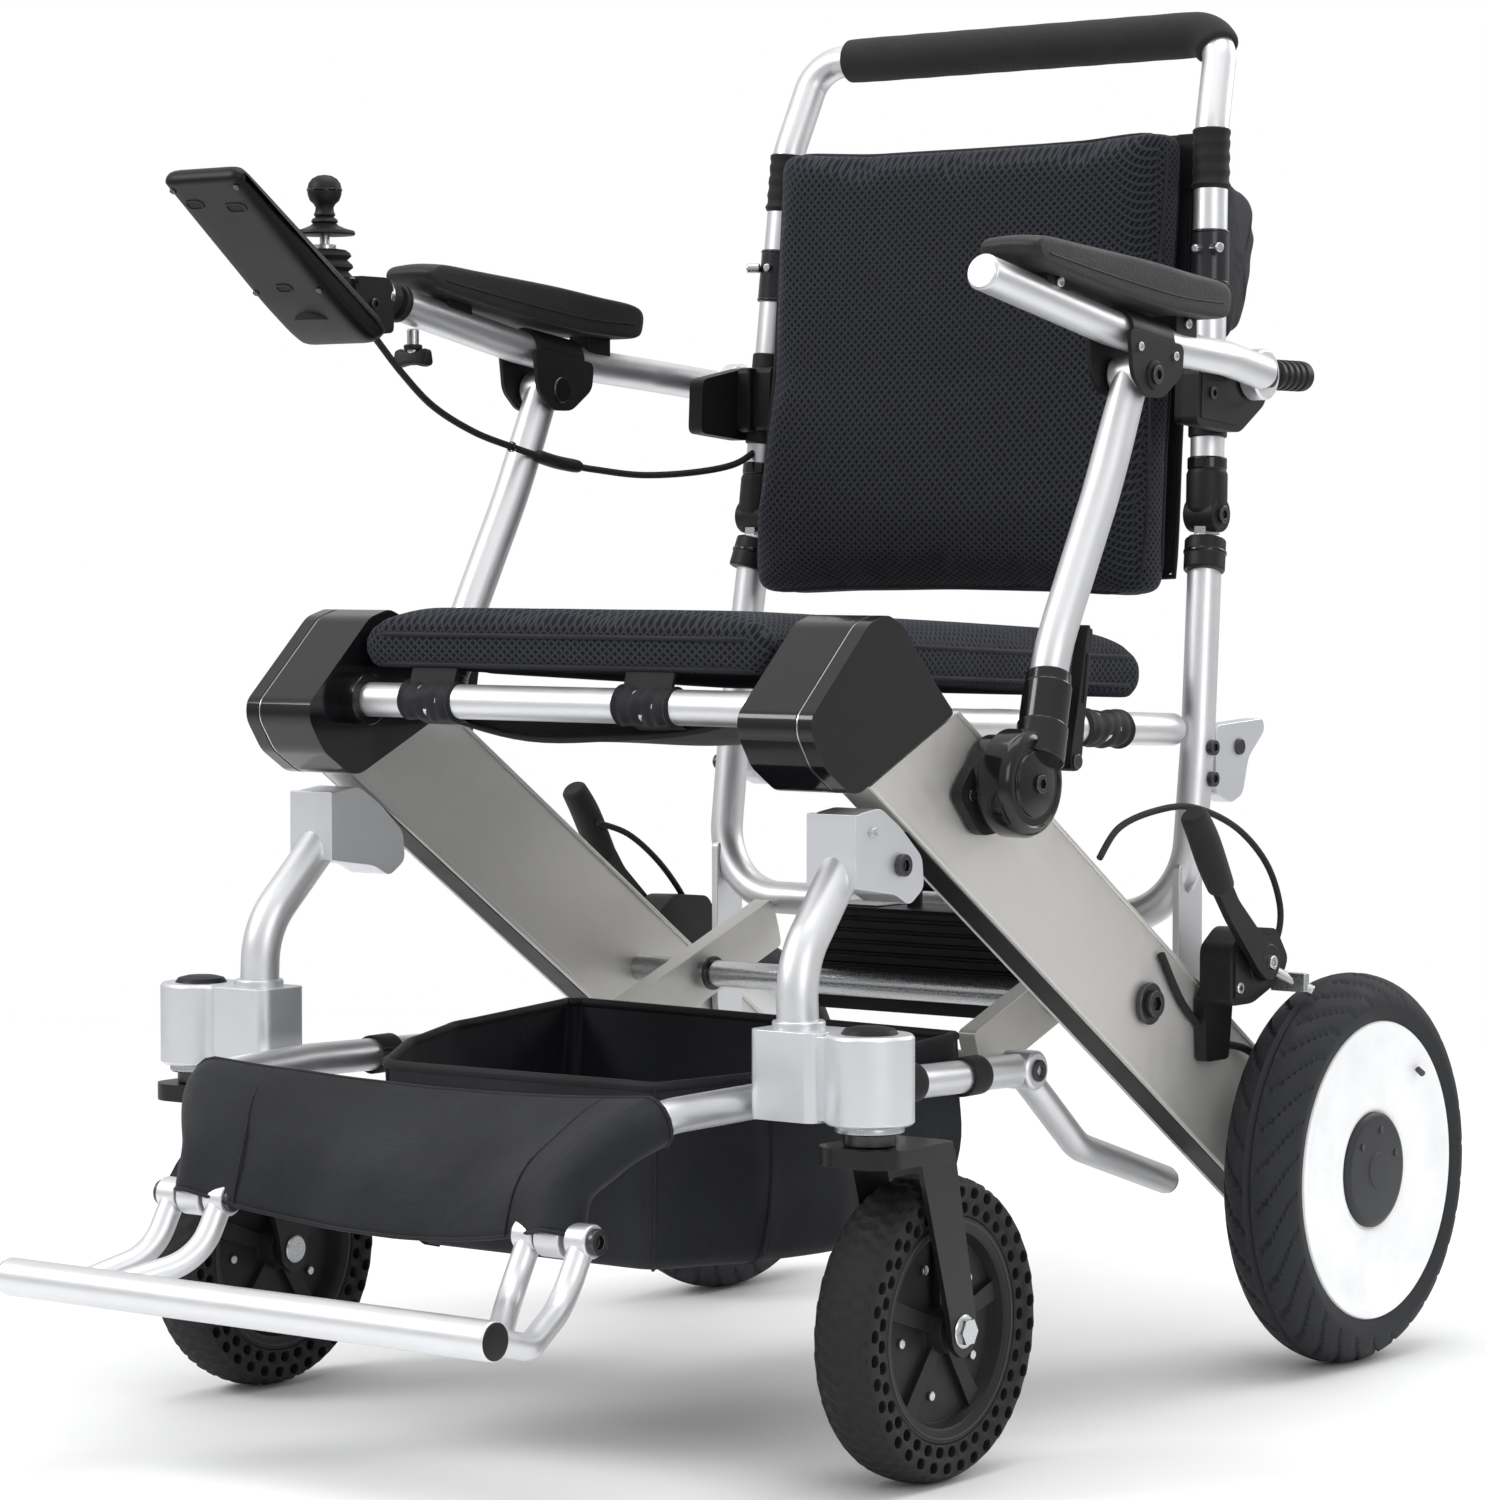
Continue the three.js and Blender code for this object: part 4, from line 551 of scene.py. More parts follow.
    # hub with a bright lip and five recessed bays
    hp = [(5.4, -20), (14, -20), (16, -9.5), (20, -9), (58, -9), (61, -16.5), (64, -18.3), (69.9, -18.5), (69.9, 18.5), (64, 18.3), (61, 16.5), (58, 9), (20, 9), (16, 9.5), (14, 20), (5.4, 20)]
    parts = [(lathe(hp, (x, ya, R), "X", 72, True), "matte")]
    for d in (1, -1):
        parts.append((lathe([(66.4, d * 18.4), (66.4, d * 18.9), (67.6, d * 18.9), (67.6, d * 18.4)], (x, ya, R), "X", 72), "hubgrey"))
        for k in range(5):
            a = 2 * math.pi * k / 5 + 0.3; u = (math.cos(a), math.sin(a)); w2 = (-u[1], u[0])
            q = lambda r, h: (ya + u[0] * r + w2[0] * h, R + u[1] * r + w2[1] * h)
            parts.append((prism([q(13, -4.5), q(60, -6.5), q(60, 6.5), q(13, 4.5)], x + d * 8.6, x + d * 13.2), "matte"))
            parts.append((move(disc(min(d * 9, d * 11.4), max(d * 9, d * 11.4), 3.0, 0, 0, 14, .4), (x, q(38, 17)[0], q(38, 17)[1])), "steel"))
    emit(f"caster_hub_body_{side}", parts, f"caster_wheel_{side}_body", s, bevel=0.7, replaces=[f"caster_hub_{side}"])

# ------------------------------------------------------------------ footrest
parts = [(sweep([(-197, -544, 123), (197, -544, 123)], 12, 40), "tube")]
for k in (1, -1):
    for xa, xb in ((188, 167.6), (164, 127)):
        pth = rounded([(k * xa, -542, 123), (k * (xa - 2), -500, 112), (k * xb, -447, 128), (k * xb, -426, 164)], [26, 44], 5)
        parts += [(sweep(pth, 8, 30), "tube"), (disc(k * xb - 8, k * xb + 8, 10.5, -426, 164), "tube")]
emit("footrest_bar", parts, "footrest_body", bevel=0.6, replaces=["footrest"])
for side, s in SIDES:
    emit(f"footrest_plug_{side}", [(lathe([(0, 199.4), (8, 199.0), (11.2, 197.8), (11.2, 196.4)], (0, -544, 123), "X", 36), "matte"), (bolt(175.4, 180, -426, 164, 8.2), "darksteel"), (sweep([(116, -426, 164), (120, -426, 164)], 8, 24), "darksteel")], "footrest_body", s, bevel=0.4)

# ------------------------------------------------------------------ folding back
def post_at(z):
    t = (z - 600) / 272; return (197 + (185.5 - 197) * t, 238 + 24 * t, z)
def mx(p, s): return (p[0] * s, p[1], p[2])
a, b = post_at(626), post_at(872)
backpath = rounded([a, b, (177, 290, 943), (-177, 290, 943), mx(b, -1), mx(a, -1)], [60, 26, 26, 60], 5)
emit("back_tube_bend", [(sweep(backpath, 12, 36), "tube")], "back_frame", replaces=["back_tube"])
gp = [p for p in backpath if p.z > 925 and abs(p.x) < 168]
arc = [p for p in backpath if p.x > 151 and p.z > 931]
gp = arc + [Vector((x, 290, 943)) for x in np.linspace(148, -147, 31)]
gr = [15.8] + [16.3] * (len(arc) - 1) + [16.5 + 0.12 * math.sin(k * 1.7) for k in range(30)] + [16.1]
emit("push_grip_foam", [(sweep(gp, gr, 36), "foam")], "back_frame", replaces=["push_grip"])
for side, s in SIDES:
    # hinge sleeve at the foot of each back post, with its release collar
    q = lambda z: post_at(z)
    parts = [(sweep([q(600), q(604), q(628), q(632)], [13.2, 14.6, 14.6, 13.4], 36), "matte"), (sweep([q(631), q(640)], 14.0, 36), "gloss"), (disc(197 - 12.4, 197 + 12.4, 12.6, 238, 600), "matte"), (bolt(209.2, 212.4, 238, 600, 6.2), "darksteel"), (sweep([(197, 236.8, 582), (200, 230, 560)], 14.6, 36), "matte"), (sweep([(198.2, 234.5, 575), (198.5, 233.6, 571)], 15.3, 36), "gloss")]
    emit(f"back_hinge_sleeve_{side}", parts[:4], "back_frame", s, bevel=0.7)
    emit(f"post_sleeve_{side}", parts[4:], "base_frame", s, bevel=0.7)
    # glossy height sleeve with its pin
    emit(f"back_sleeve_{side}", [(sweep([q(763), q(799)], 13.7, 36), "label"), (sweep([q(797), q(800)], 14.2, 36), "gloss"), (sweep([q(761), q(764)], 14.2, 36), "gloss"),
                                 (sweep([(198, 243, 787), (207, 238.5, 787)], 3.6, 20), "steel"), (sweep([(187, 236, 787), (190, 252, 787)], 3.0, 16), "steel")], "back_frame", s, bevel=0.4)
    # clamp around the post
    blk = soften([(226, 664), (262, 661), (272, 676), (272, 712), (228, 712)], 5, 4)
    emit(f"arm_clamp_body_{side}", [(prism(blk, 177.4, 207.6), "matte"), (prism(inset(blk, 4), 207, 208.4), "powder"), (sweep([q(654), q(722)], 13.7, 36), "matte"), (bolt(176.8, 173.8, 236, 672, 4.6), "darksteel"), (bolt(176.8, 173.8, 264, 703, 4.6), "darksteel"),
        (box(191.5, 193.5, 221, 229, 664, 711), "powder")], "back_frame", s, bevel=1.2, replaces=[f"arm_clamp_{side}"])
    kn = soften([(184, 662), (242, 657), (277, 678), (284, 700), (272, 714), (240, 712), (186, 702)], 6, 4)
    parts = [(prism(kn, 209, 221.2), "matte"), (prism(inset(kn, 5), 220.6, 221.9), "powder"), (bolt(221.2, 224, 204, 684, 4.4), "darksteel"), (sweep([(220.4, 274, 699), (220.4, 330, 699)], 9.2, 30), "matte"), (drum(0, 0, 0, 0.1, 0.2), "matte")]
    parts = parts[:-1]
    ribs = []
    for k in range(5): ribs.append((lathe([(9.0, 286 + k * 8.4), (11.0, 287.4 + k * 8.4), (11.0, 291.2 + k * 8.4), (9.0, 292.8 + k * 8.4)], (220.8, 0, 699), "Y", 30), "matte"))
    ribs.append((lathe([(0, 331.5), (9, 331), (10.8, 328.5), (10.8, 325)], (220.8, 0, 699), "Y", 30), "matte"))
    emit(f"arm_knuckle_shell_{side}", parts + ribs, f"arm_knuckle_{side}_body", s, bevel=1.0, replaces=[f"arm_knuckle_{side}"])

    # armrest tube
    tip_y = -128 if s > 0 else -112; t = (tip_y + 128) / 148; tip = (252, tip_y, 751 - 29 * t)
    path = rounded([tip, (252, 20, 722), (252, 100, 711), (252, 172, 706), (240, 240, 699)], [120, 160, 60], 4)
    parts = [(sweep(path, 12, 36), "tube"), (disc(222.3, 235.8, 18, 255, 698, 44, 1.5), "tube"), (bolt(235.4, 239.6, 255, 698, 9.5), "darksteel")]
    if s > 0: parts.append((sweep([(252, tip_y + 1.0, tip[2] - .2), (252, tip_y - 1.4, tip[2] + 0.28)], 11.0, 32), "cast"))
    else: parts.append((sweep([(252, tip_y + 4.0, tip[2] - .8), (252, tip_y - 2.0, tip[2] + 0.4)], 13.6, 32), "matte"))
    emit(f"armrest_tube_bend_{side}", parts, f"armrest_{side}_body", s, bevel=0.6, replaces=[f"armrest_tube_{side}"])
    # pad: moulded foam block with rolled edges, a parting line and two carriers down to the tube
    po = catmull([(-99, 767), (-90, 758.6), (-55, 751), (-20, 745), (30, 737.5), (70, 733), (104, 731), (134, 731), (142, 739), (138, 754.5), (90, 760.5), (40, 766), (-10, 770), (-50, 773), (-84, 775.6), (-96, 773.5)], 4, True)
    c = Vector((20, 752)); rows = []
    for x, k, dz in ((-22.6, 0.80, 0), (-22.2, 0.90, 0), (-20.5, 0.962, 0), (-17, 0.99, 0), (-9, 1.0, 0.6), (0, 1.0, 1.0), (9, 1.0, 0.6), (17, 0.99, 0), (20.5, 0.962, 0), (22.2, 0.90, 0), (22.6, 0.80, 0)):
        rows.append([(252 + x, c.x + (p.x - c.x) * (1 - (1 - k) * 0.16), p.y + (c.y - (p.x - c.x) * 0.09 - p.y) * (1 - k) * 0.9 + (dz if p.y > 750 - (p.x) * 0.1 else 0)) for p in po])
    emit(f"armrest_pad_foam_{side}", [(loft(rows), "pad")], f"armrest_{side}_body", s, sub=1, replaces=[f"armrest_pad_{side}"])
    ln = [(252 + 22.5, p.x, p.y) for p in catmull([(-84, 764.0), (-40, 757.5), (20, 749.5), (80, 743.0), (130, 741.5)], 5)]
    emit(f"armrest_pad_seam_{side}", [(sweep(ln, 0.7, 10), "matte"), (sweep([(x - 2 * (x - 252), y, z) for x, y, z in ln], 0.7, 10), "matte")], f"armrest_{side}_body", s)
    emit(f"pad_carrier_{side}", [(box(243, 261, -66, -40, 734, 756), "matte"), (box(243, 261, 92, 118, 716, 734), "matte"), (bolt(261, 263.5, -53, 748, 3.8), "steel"), (bolt(261, 263.5, 105, 727, 3.8), "steel")], f"armrest_{side}_body", s, bevel=1.2)
    # fork bracket: saddle over the tube and two cheeks
    K = soften([(20, 721), (88, 711.5), (86, 692), (62, 676), (40, 676), (24, 690)], 6, 4)
    sad = lambda y, z: [(252 + 15.2 * math.cos(th), y, z + 15.2 * math.sin(th)) for th in np.linspace(-0.5, math.pi + 0.5, 17)] + [(252 + 12.4 * math.cos(th), y, z + 12.4 * math.sin(th)) for th in np.linspace(math.pi + 0.5, -0.5, 17)]
    parts = [(prism(K, 252 + 14.4, 252 + 17.6), "matte"), (prism(K, 252 - 17.6, 252 - 14.4), "matte"), (loft([sad(28, 720.9), sad(45, 718.6), (sad(62, 716.2)), sad(80, 713.7)]), "matte"),
             (disc(269, 271.2, 9.5, 50, 691), "matte"), (bolt(270.6, 273.6, 50, 691, 6.4), "darksteel"), (disc(232.8, 235.2, 9.5, 50, 691), "darksteel"), (bolt(269.4, 271.6, 76, 704, 3.2), "steel"), (bolt(269.4, 271.6, 32, 709, 3.2), "steel")]
    emit(f"fork_bracket_{side}", parts, f"armrest_{side}_body", s, bevel=0.8, replaces=[f"arm_bracket_{side}"])
    # post: bent tube, flattened at the top into the eye
    pp = catmull([(252, 50, 691), (252, 33, 655), (252, 12, 612), (252, -17, 561), (252, -41, 518), (252, -51.5, 489.2)], 8)
    pv, pf = sweep(pp, 12.6, 36); n = 36
    pv2 = []
    for p in pv:
        k = max(0, min(1, (p[2] - 640) / 50)); x = 252 + (p[0] - 252) * (1 - 0.1 * k); pv2.append((x, p[1], p[2]))
    emit(f"post_tube_{side}", [((pv2, pf), "tube"), (disc(240, 264, 12.8, 50, 691), "tube")], f"post_{side}_body", s, bevel=0.5, replaces=[f"armrest_post_{side}"])
    # drum joint at the post's foot
    hy, hz = -90.0, 426.0
    pr = [(0, 246.4), (33.6, 246.4), (35, 247.8), (35, 262), (33.4, 266), (31, 268.4), (28.2, 269.2), (27.4, 267.8), (22, 267.8), (21.2, 269.6), (12, 271.4), (0, 272)]
    arm = rounded([(262, -78, 440), (258, -66, 462), (254.5, -54.5, 487), (253, -51, 495)], 30, 5)
    emit(f"drum_joint_{side}", [(lathe(pr, (0, hy, hz), "X", 72), "gloss"), (sweep(arm, [17.5, 17] + [16] * (len(arm) - 4) + [15.4, 15.0], 36), "gloss"), (bolt(271.6, 274.4, hy, hz, 6.4), "darksteel")], f"post_{side}_body", s, bevel=0.9, replaces=[f"post_foot_{side}"])
    bp = soften([(-118, 440), (-136, 420), (-110, 392), (-70, 395), (-64, 440)], 8, 4)
    emit(f"post_base_drum_{side}", [(disc(232.4, 245.6, 31, hy, hz, 56, 1.4), "gloss"), (prism(bp, 232.4, 240), "matte"), (bolt(239.6, 242.4, -122, 419, 4.0), "darksteel")], "base_frame", s, bevel=1.4, replaces=[f"post_base_{side}"])
    lt = catmull([(-41, 438), (-34, 432), (-28, 438), (-23, 470), (-15, 518), (-17, 524), (-21, 523), (-31, 480)], 4, True)
    emit(f"latch_lever_{side}", [(prism([(p.x, p.y) for p in lt], 254.5, 263.5), "matte"), (disc(252.4, 265.4, 5.2, -34, 438), "darksteel"), (prism([(-27, 476), (-24, 476), (-19, 508), (-22, 508)], 263.2, 264.6), "powder")], f"latch_{side}_body", s, bevel=1.2, replaces=[f"post_latch_{side}"])

# ------------------------------------------------------------------ controller
CO = [(-301, 821), (-299, 828), (-293, 831), (-286, 828), (-172, 750), (-152, 737), (-146, 724), (-160, 716), (-176, 724), (-203, 743)]
co = soften(CO, 5, 3)
JY = (-262.0, -175.0, 783.0)
def face(o, u, nrm):
    """returns a function (x, t, h) -> point for a plane that contains X and the direction u in (y, z)"""
    return lambda x, t, h: (x, o[0] + u[0] * t + nrm[0] * h, o[1] + u[1] * t + nrm[1] * h)
TOP = face((-286, 828), (0.8253, -0.5647), (0.5647, 0.8253)); BOT = face((-301, 821), (0.7825, -0.6230), (-0.6230, -0.7825))
def stud(fc, x, t, shape, h0, h1, steps=None):
    rings = []
    for h, k in (steps or ((h0, 1), (h1 - 0.4, 1), (h1, 0.93))): rings.append([fc(x + a * k, t + b * k, h) for a, b in shape])
    return loft(rings)
def round_shape(r, n=36): return [(r * math.cos(2 * math.pi * k / n), r * math.sin(2 * math.pi * k / n)) for k in range(n)]
def oblong(a, b, n=8):
    out = []
    for sg in (1, -1):
        for k in range(n + 1):
            th = math.radians(-90 + 180 * k / n); out.append((sg * (a - b) + sg * b * math.cos(th), sg * b * math.sin(th)))
    return out
hous = []
def housing(off): return soften(CO, 9, 4) if off == 0 else inset(soften(CO, 9, 4), off)
rings = []
for hx, off in ((-297, 9.0), (-296.6, 5.2), (-295, 2.6), (-292.6, 1.0), (-289.5, 0.3), (-285, 0.0), (-239, 0.0), (-234.5, 0.3), (-231.4, 1.0), (-229, 2.6), (-227.4, 5.2), (-227, 9.0)):
    rings.append([(hx, a, b) for a, b in housing(off)])
hous.append((loft(rings), "shell"))
hous.append((stud(TOP, -262, 55, [(a, b) for a, b in rrect(-29, 29, -47, 40, 6)], -1, 0.7), "label"))
for hx, ht, ha, hb in ((-281, 22, 6.5, 3.6), (-247, 27, 7.5, 3.6), (-262, 108, 6, 3.2)):
    o2 = oblong(ha, hb); rim = [[BOT(hx + q[0] * k, ht + q[1] * k, h) for q in o2] for k, h in ((1.28, -0.6), (1.22, 0.7), (1.0, 0.7), (0.92, -0.4))]
    hous.append((loft(rim, caps=False), "shell")); hous.append((stud(BOT, hx, ht, [(q[0] * .94, q[1] * .94) for q in o2], -0.6, 0.12), "cable"))
for hx, ht in ((-291, 8), (-233, 8), (-291, 112), (-233, 112)): hous.append((stud(BOT, hx, ht, round_shape(2.4, 16), -0.5, 0.6), "darksteel"))
tur = [(0, -50), (21, -50), (21, -22), (19.2, -19.4), (16.2, -16), (19.6, -13.4), (19.2, -11.4), (15.6, -8.2), (18.4, -5.4), (17.6, -3.4), (14.6, -1.2), (10.6, -0.6), (10.4, -3), (10.4, -12), (0, -12)]
hous += [(lathe(tur[1:], JY, "Z", 56), "cable"), (lathe([(23.6, -30), (24.6, -26), (24.4, -21.5), (21.6, -20.4)], JY, "Z", 56), "gloss")]
blk = soften([(-170, 731), (-166, 764), (-134, 764), (-128, 758), (-128, 726), (-148, 724)], 4, 3)
hous += [(prism(blk, -270, -240), "matte"), (sweep([(-252, -148, 755.1), (-252, -112 + 58 * .9814, 748 - 58 * .1923)], 7.6, 28), "steel"), (sweep([(-252, -131, 751.8), (-252, -126, 750.8)], 12.4, 36), "steel"), (sweep([(-252, -126.5, 750.9), (-252, -119, 749.4)], 13.2, 36), "matte"), (bolt(-240.4, -237.6, -149, 745, 4.2), "darksteel")]
emit("controller_housing", hous, "controller_body", bevel=1.4, replaces=["controller"])
for nm, x in (("power", -277), ("horn", -247)):
    emit(f"{nm}_button_ring", [(loft([[TOP(x + q[0] * k, 20 + q[1] * k, h) for q in round_shape(1)] for k, h in ((8.2, 0.2), (8.0, 1.3), (6.7, 1.3), (6.5, 0.3))], caps=False), "steel" if nm == "power" else "matte")], "controller_body")
    emit(f"{nm}_button_cap", [(stud(TOP, x, 20, round_shape(1), 0, 0, ((-3.2, 6.0), (1.4, 6.0), (2.1, 5.3), (1.7, 3.0), (1.6, 0.2))), "hubgrey")], f"{nm}_button_body", replaces=[f"{nm}_button"])
kb = rrect(-9, 9, -4, 4, 2.4)
emit("speed_key_cap", [(stud(TOP, -262, 42, kb, -3.2, 2.2, ((-3.2, 1), (1.4, 1), (2.1, 0.93), (1.8, 0.7), (1.7, 0.1))), "hubgrey")], "speed_button_body", replaces=["speed_button"])
jp = [(0, 8.6), (20.6, 9), (21.2, 10.2), (20.4, 12), (15, 13.4), (10.2, 15.4), (8.2, 17), (9.4, 18.2), (8.6, 20), (6.4, 21.4), (7.6, 23), (6.6, 25), (6.2, 28), (7.6, 30.4), (10.2, 32.8), (11.6, 36.6), (12.0, 40.2), (11.0, 44.6), (8.6, 47.8), (5.0, 49.8), (0, 50.6)]
emit("joystick_knob", [(lathe(jp, JY, "Z", 56), "matte"), (lathe([(0, -3.8), (3.2, -3), (4.3, 0), (3.4, 3), (3.4, 9.2)], JY, "Z", 24), "steel"), (lathe([(12.05, 39.2), (12.5, 40.1), (12.05, 41.0)], JY, "Z", 56), "gloss")], "joystick_body", replaces=["joystick"])
emit("gimbal_ring", [(lathe([(5.3, -2.4), (7.9, -2.4), (7.9, 2.4), (5.3, 2.4)], JY, "Z", 40, True), "steel")], "gimbal_body", bevel=0.4, replaces=["joystick_gimbal"])
kn = soften([(-99, 706), (-97, 716), (-91, 716), (-89, 706), (-91, 704), (-97, 704)], 2.4, 3)
emit("thumb_knob_tee", [(loft([[(-252 + x, -94 + (p[0] + 94) * k, 710 + (p[1] - 710) * k) for p in kn] for x, k in ((-15.5, 0.5), (-14.6, 0.92), (-11, 1.08), (-4, 0.86), (4, 0.86), (11, 1.08), (14.6, 0.92), (15.5, 0.5))]), "matte"), (drum(-252, -94, 713, 730.4, 4.2), "steel"), (drum(-252, -94, 715.4, 719.4, 6.6), "matte")], "thumb_knob_body", bevel=0.5, replaces=["thumb_knob"])

# ------------------------------------------------------------------ cables
def cable(name, pts, r, body, extra=(), key="cable", blend=None):
    pth = catmull(pts, 8)
    parts = [(sweep(pth, r, 16), key)] + list(extra)
    ob = emit(name, parts, body)
    return ob
cp = [(-246, -150, 730), (-243, -142, 720), (-241, -118, 698), (-242, -84, 676), (-242, -40, 659), (-240, 0, 649), (-237, 30, 642)]
c2 = [(-225, 76, 633.6), (-217, 120, 630), (-206, 165, 632), (-197, 205, 638), (-196, 232, 648), (-197, 254, 660)]
emit("controller_cable_front", [(sweep(catmull(cp, 7), 2.5, 16), "cable"), (sweep(catmull([(-238, 24, 643.4), (-236, 46, 638.6), (-229, 66, 635.2)], 5), [3.4, 4.6, 4.9, 4.9, 4.9, 4.9, 4.9, 4.9, 4.9, 4.6, 3.6], 20), "matte")], "armrest_right_body")
emit("controller_cable_rear", [(sweep(catmull([(-229.5, 65, 635.3)] + c2, 7), 2.5, 16), "cable"), (sweep([(-197, 250, 656), (-197, 256, 664)], 4.2, 18), "matte")], "armrest_right_body")
emit("cable_tie", [(lathe([(3.4, -1.6), (3.9, -1), (3.9, 1), (3.4, 1.6)], (-240, 0, 649), "Y", 20, True), "gloss")], "armrest_right_body")
for side, s in SIDES:
    loop = [(256, 30, 352), (252, 12, 372), (250, 40, 391), (250, 86, 400), (250, 134, 400), (250, 190, 384), (250, 232, 357), (251, 250, 326), (252, 244, 303), (250, 226, 292)]
    lp = loop if s > 0 else [(256, 118, 372), (252, 150, 362), (250, 184, 340), (250, 214, 312), (250, 226, 290)]
    # sheathed cable from the parking brake down to the motor
    emit(f"brake_cable_{side}", [(sweep(catmull(loop[1:] if s > 0 else lp, 7), 2.3, 14), "cable"), (sweep([loop[-1], (250, 221, 290.5)], 3.8, 18), "gloss")], "base_frame", s)
    emit(f"motor_cable_{side}", [(sweep(catmull([(236, 262, 196), (240, 250, 212), (238, 226, 226), (233.8, 190, 236), (233.6, 150, 262), (233.6, 120, 300)], 6), 2.8, 14), "cable")], "base_frame", s)

# ------------------------------------------------------------------ soft goods
def mesh_from(vf, name):
    me = bpy.data.meshes.new(name); me.from_pydata([P(*p) for p in vf[0]], [], vf[1])
    bm = bmesh.new(); bm.from_mesh(me); bmesh.ops.triangulate(bm, faces=[f for f in bm.faces if len(f.verts) > 4]); bmesh.ops.recalc_face_normals(bm, faces=bm.faces); bm.to_mesh(me); bm.free()
    return me
def coords(me):
    a = np.zeros(len(me.vertices) * 3); me.vertices.foreach_get("co", a); return a.reshape(-1, 3)
def setco(me, a): me.vertices.foreach_set("co", a.ravel()); me.update()
def only(ob):
    for o in bpy.context.selected_objects: o.select_set(False)
    ob.select_set(True); bpy.context.view_layer.objects.active = ob
def puff(name, vf, voxel=5.0, pressure=4.0, cap=24.0, limit=None, frames=20, smooth=3):
    """inflates a closed pad with a short cloth simulation; limit(co_mm, start_mm) keeps it inside its place"""
    me = mesh_from(vf, name); ob = bpy.data.objects.new(name, me); bpy.context.scene.collection.objects.link(ob); only(ob)
    r = ob.modifiers.new("remesh", "REMESH"); r.mode = "VOXEL"; r.voxel_size = voxel / 1000; r.use_smooth_shade = True
    bpy.ops.object.modifier_apply(modifier="remesh"); me = ob.data
    s = ob.modifiers.new("sm", "SMOOTH"); s.factor = 0.5; s.iterations = 3; bpy.ops.object.modifier_apply(modifier="sm")
    start = coords(ob.data)
    c = ob.modifiers.new("cloth", "CLOTH"); st = c.settings
    st.quality = 4; st.mass = 0.25; st.tension_stiffness = 12; st.compression_stiffness = 12; st.shear_stiffness = 4; st.bending_stiffness = 0.6
    st.tension_damping = 6; st.compression_damping = 6; st.shear_damping = 6; st.air_damping = 2
    st.use_pressure = True; st.uniform_pressure_force = pressure; st.effector_weights.gravity = 0
    c.collision_settings.use_collision = False; c.point_cache.frame_start = 1; c.point_cache.frame_end = frames
    for f in range(1, frames + 1): bpy.context.scene.frame_set(f)
    dg = bpy.context.evaluated_depsgraph_get(); ev = ob.evaluated_get(dg).to_mesh(); new = coords(ev); ob.modifiers.remove(c); bpy.context.scene.frame_set(1)
    d = new - start; L = np.linalg.norm(d, axis=1, keepdims=True); k = np.where(L > 1e-9, np.tanh(L / (cap / 1000)) * (cap / 1000) / np.maximum(L, 1e-9), 0)
    new = start + d * k
    if limit is not None:
        mm_ = new * 1000; mm_[:, 1] -= SHIFT; ss = start * 1000; ss[:, 1] -= SHIFT; mm_ = limit(mm_, ss); mm_[:, 1] += SHIFT; new = mm_ / 1000
    setco(ob.data, new); only(ob)
    s = ob.modifiers.new("sm", "SMOOTH"); s.factor = 0.5; s.iterations = smooth; bpy.ops.object.modifier_apply(modifier="sm")
    ob.data.polygons.foreach_set("use_smooth", [True] * len(ob.data.polygons))
    return ob
def section_loop(me, co, no, count=160):
    """ordered closed loop where a plane cuts the mesh, resampled evenly"""
    bm = bmesh.new(); bm.from_mesh(me); out = bmesh.ops.bisect_plane(bm, geom=bm.verts[:] + bm.edges[:] + bm.faces[:], plane_co=co, plane_no=no)["geom_cut"]
    nb = {}
    for e in out:
        if isinstance(e, bmesh.types.BMEdge):
            a, b = e.verts; nb.setdefault(a, []).append(b); nb.setdefault(b, []).append(a)
    best = []
    seen = set()
    for v0 in list(nb):
        if v0 in seen: continue
        loop = [v0]; seen.add(v0); cur = v0
        while True:
            nx = [q for q in nb[cur] if q not in seen]
            if not nx: break
            cur = nx[0]; seen.add(cur); loop.append(cur)
        if len(loop) > len(best): best = loop
    pts = [v.co.copy() for v in best]; bm.free()
    a = np.array([list(p) for p in pts]); seg = np.linalg.norm(np.roll(a, -1, 0) - a, axis=1); cum = np.concatenate([[0], np.cumsum(seg)]); tot = cum[-1]; aa = np.vstack([a, a[:1]])
    t = np.linspace(0, tot, count, endpoint=False); r = np.stack([np.interp(t, cum, aa[:, i]) for i in range(3)], 1)
    for _ in range(3): r = (np.roll(r, 1, 0) + 2 * r + np.roll(r, -1, 0)) / 4
    r = r * 1000; r[:, 1] -= SHIFT
    return [Vector(p) for p in r]
def pad_dress(ob, key, body, replaces, squash=None):
    ob.data.materials.clear(); ob.data.materials.append(M[key])
    m = ob.modifiers.new("sub", "SUBSURF"); m.levels = 1; m.render_levels = 1
    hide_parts(*replaces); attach(ob, body)

# seat cushion
def seat_section(y, half, z0, z1, crown):
    pts = []; e = 10
    for x, z in ((-half + e, z0), (-half * .5, z0), (0, z0), (half * .5, z0), (half - e, z0), (half, z0 + e), (half, z1 - e), (half - e * 1.4, z1), (half * 0.5, z1 + crown), (0, z1 + crown * 1.3), (-half * 0.5, z1 + crown), (-half + e * 1.4, z1), (-half, z1 - e), (-half, z0 + e)): pts.append((x, y, z))
    return pts
sv = loft([seat_section(-250, 170, 499, 524, 2), seat_section(-246, 172, 494, 529, 3), seat_section(-150, 172, 488, 526, 3), seat_section(-126, 172, 486.5, 525, 3), seat_section(-110, 189, 485, 524, 3), seat_section(40, 189.5, 476, 516, 2), seat_section(172, 189.5, 469, 509, 2), seat_section(182, 187, 472, 503, 0)])
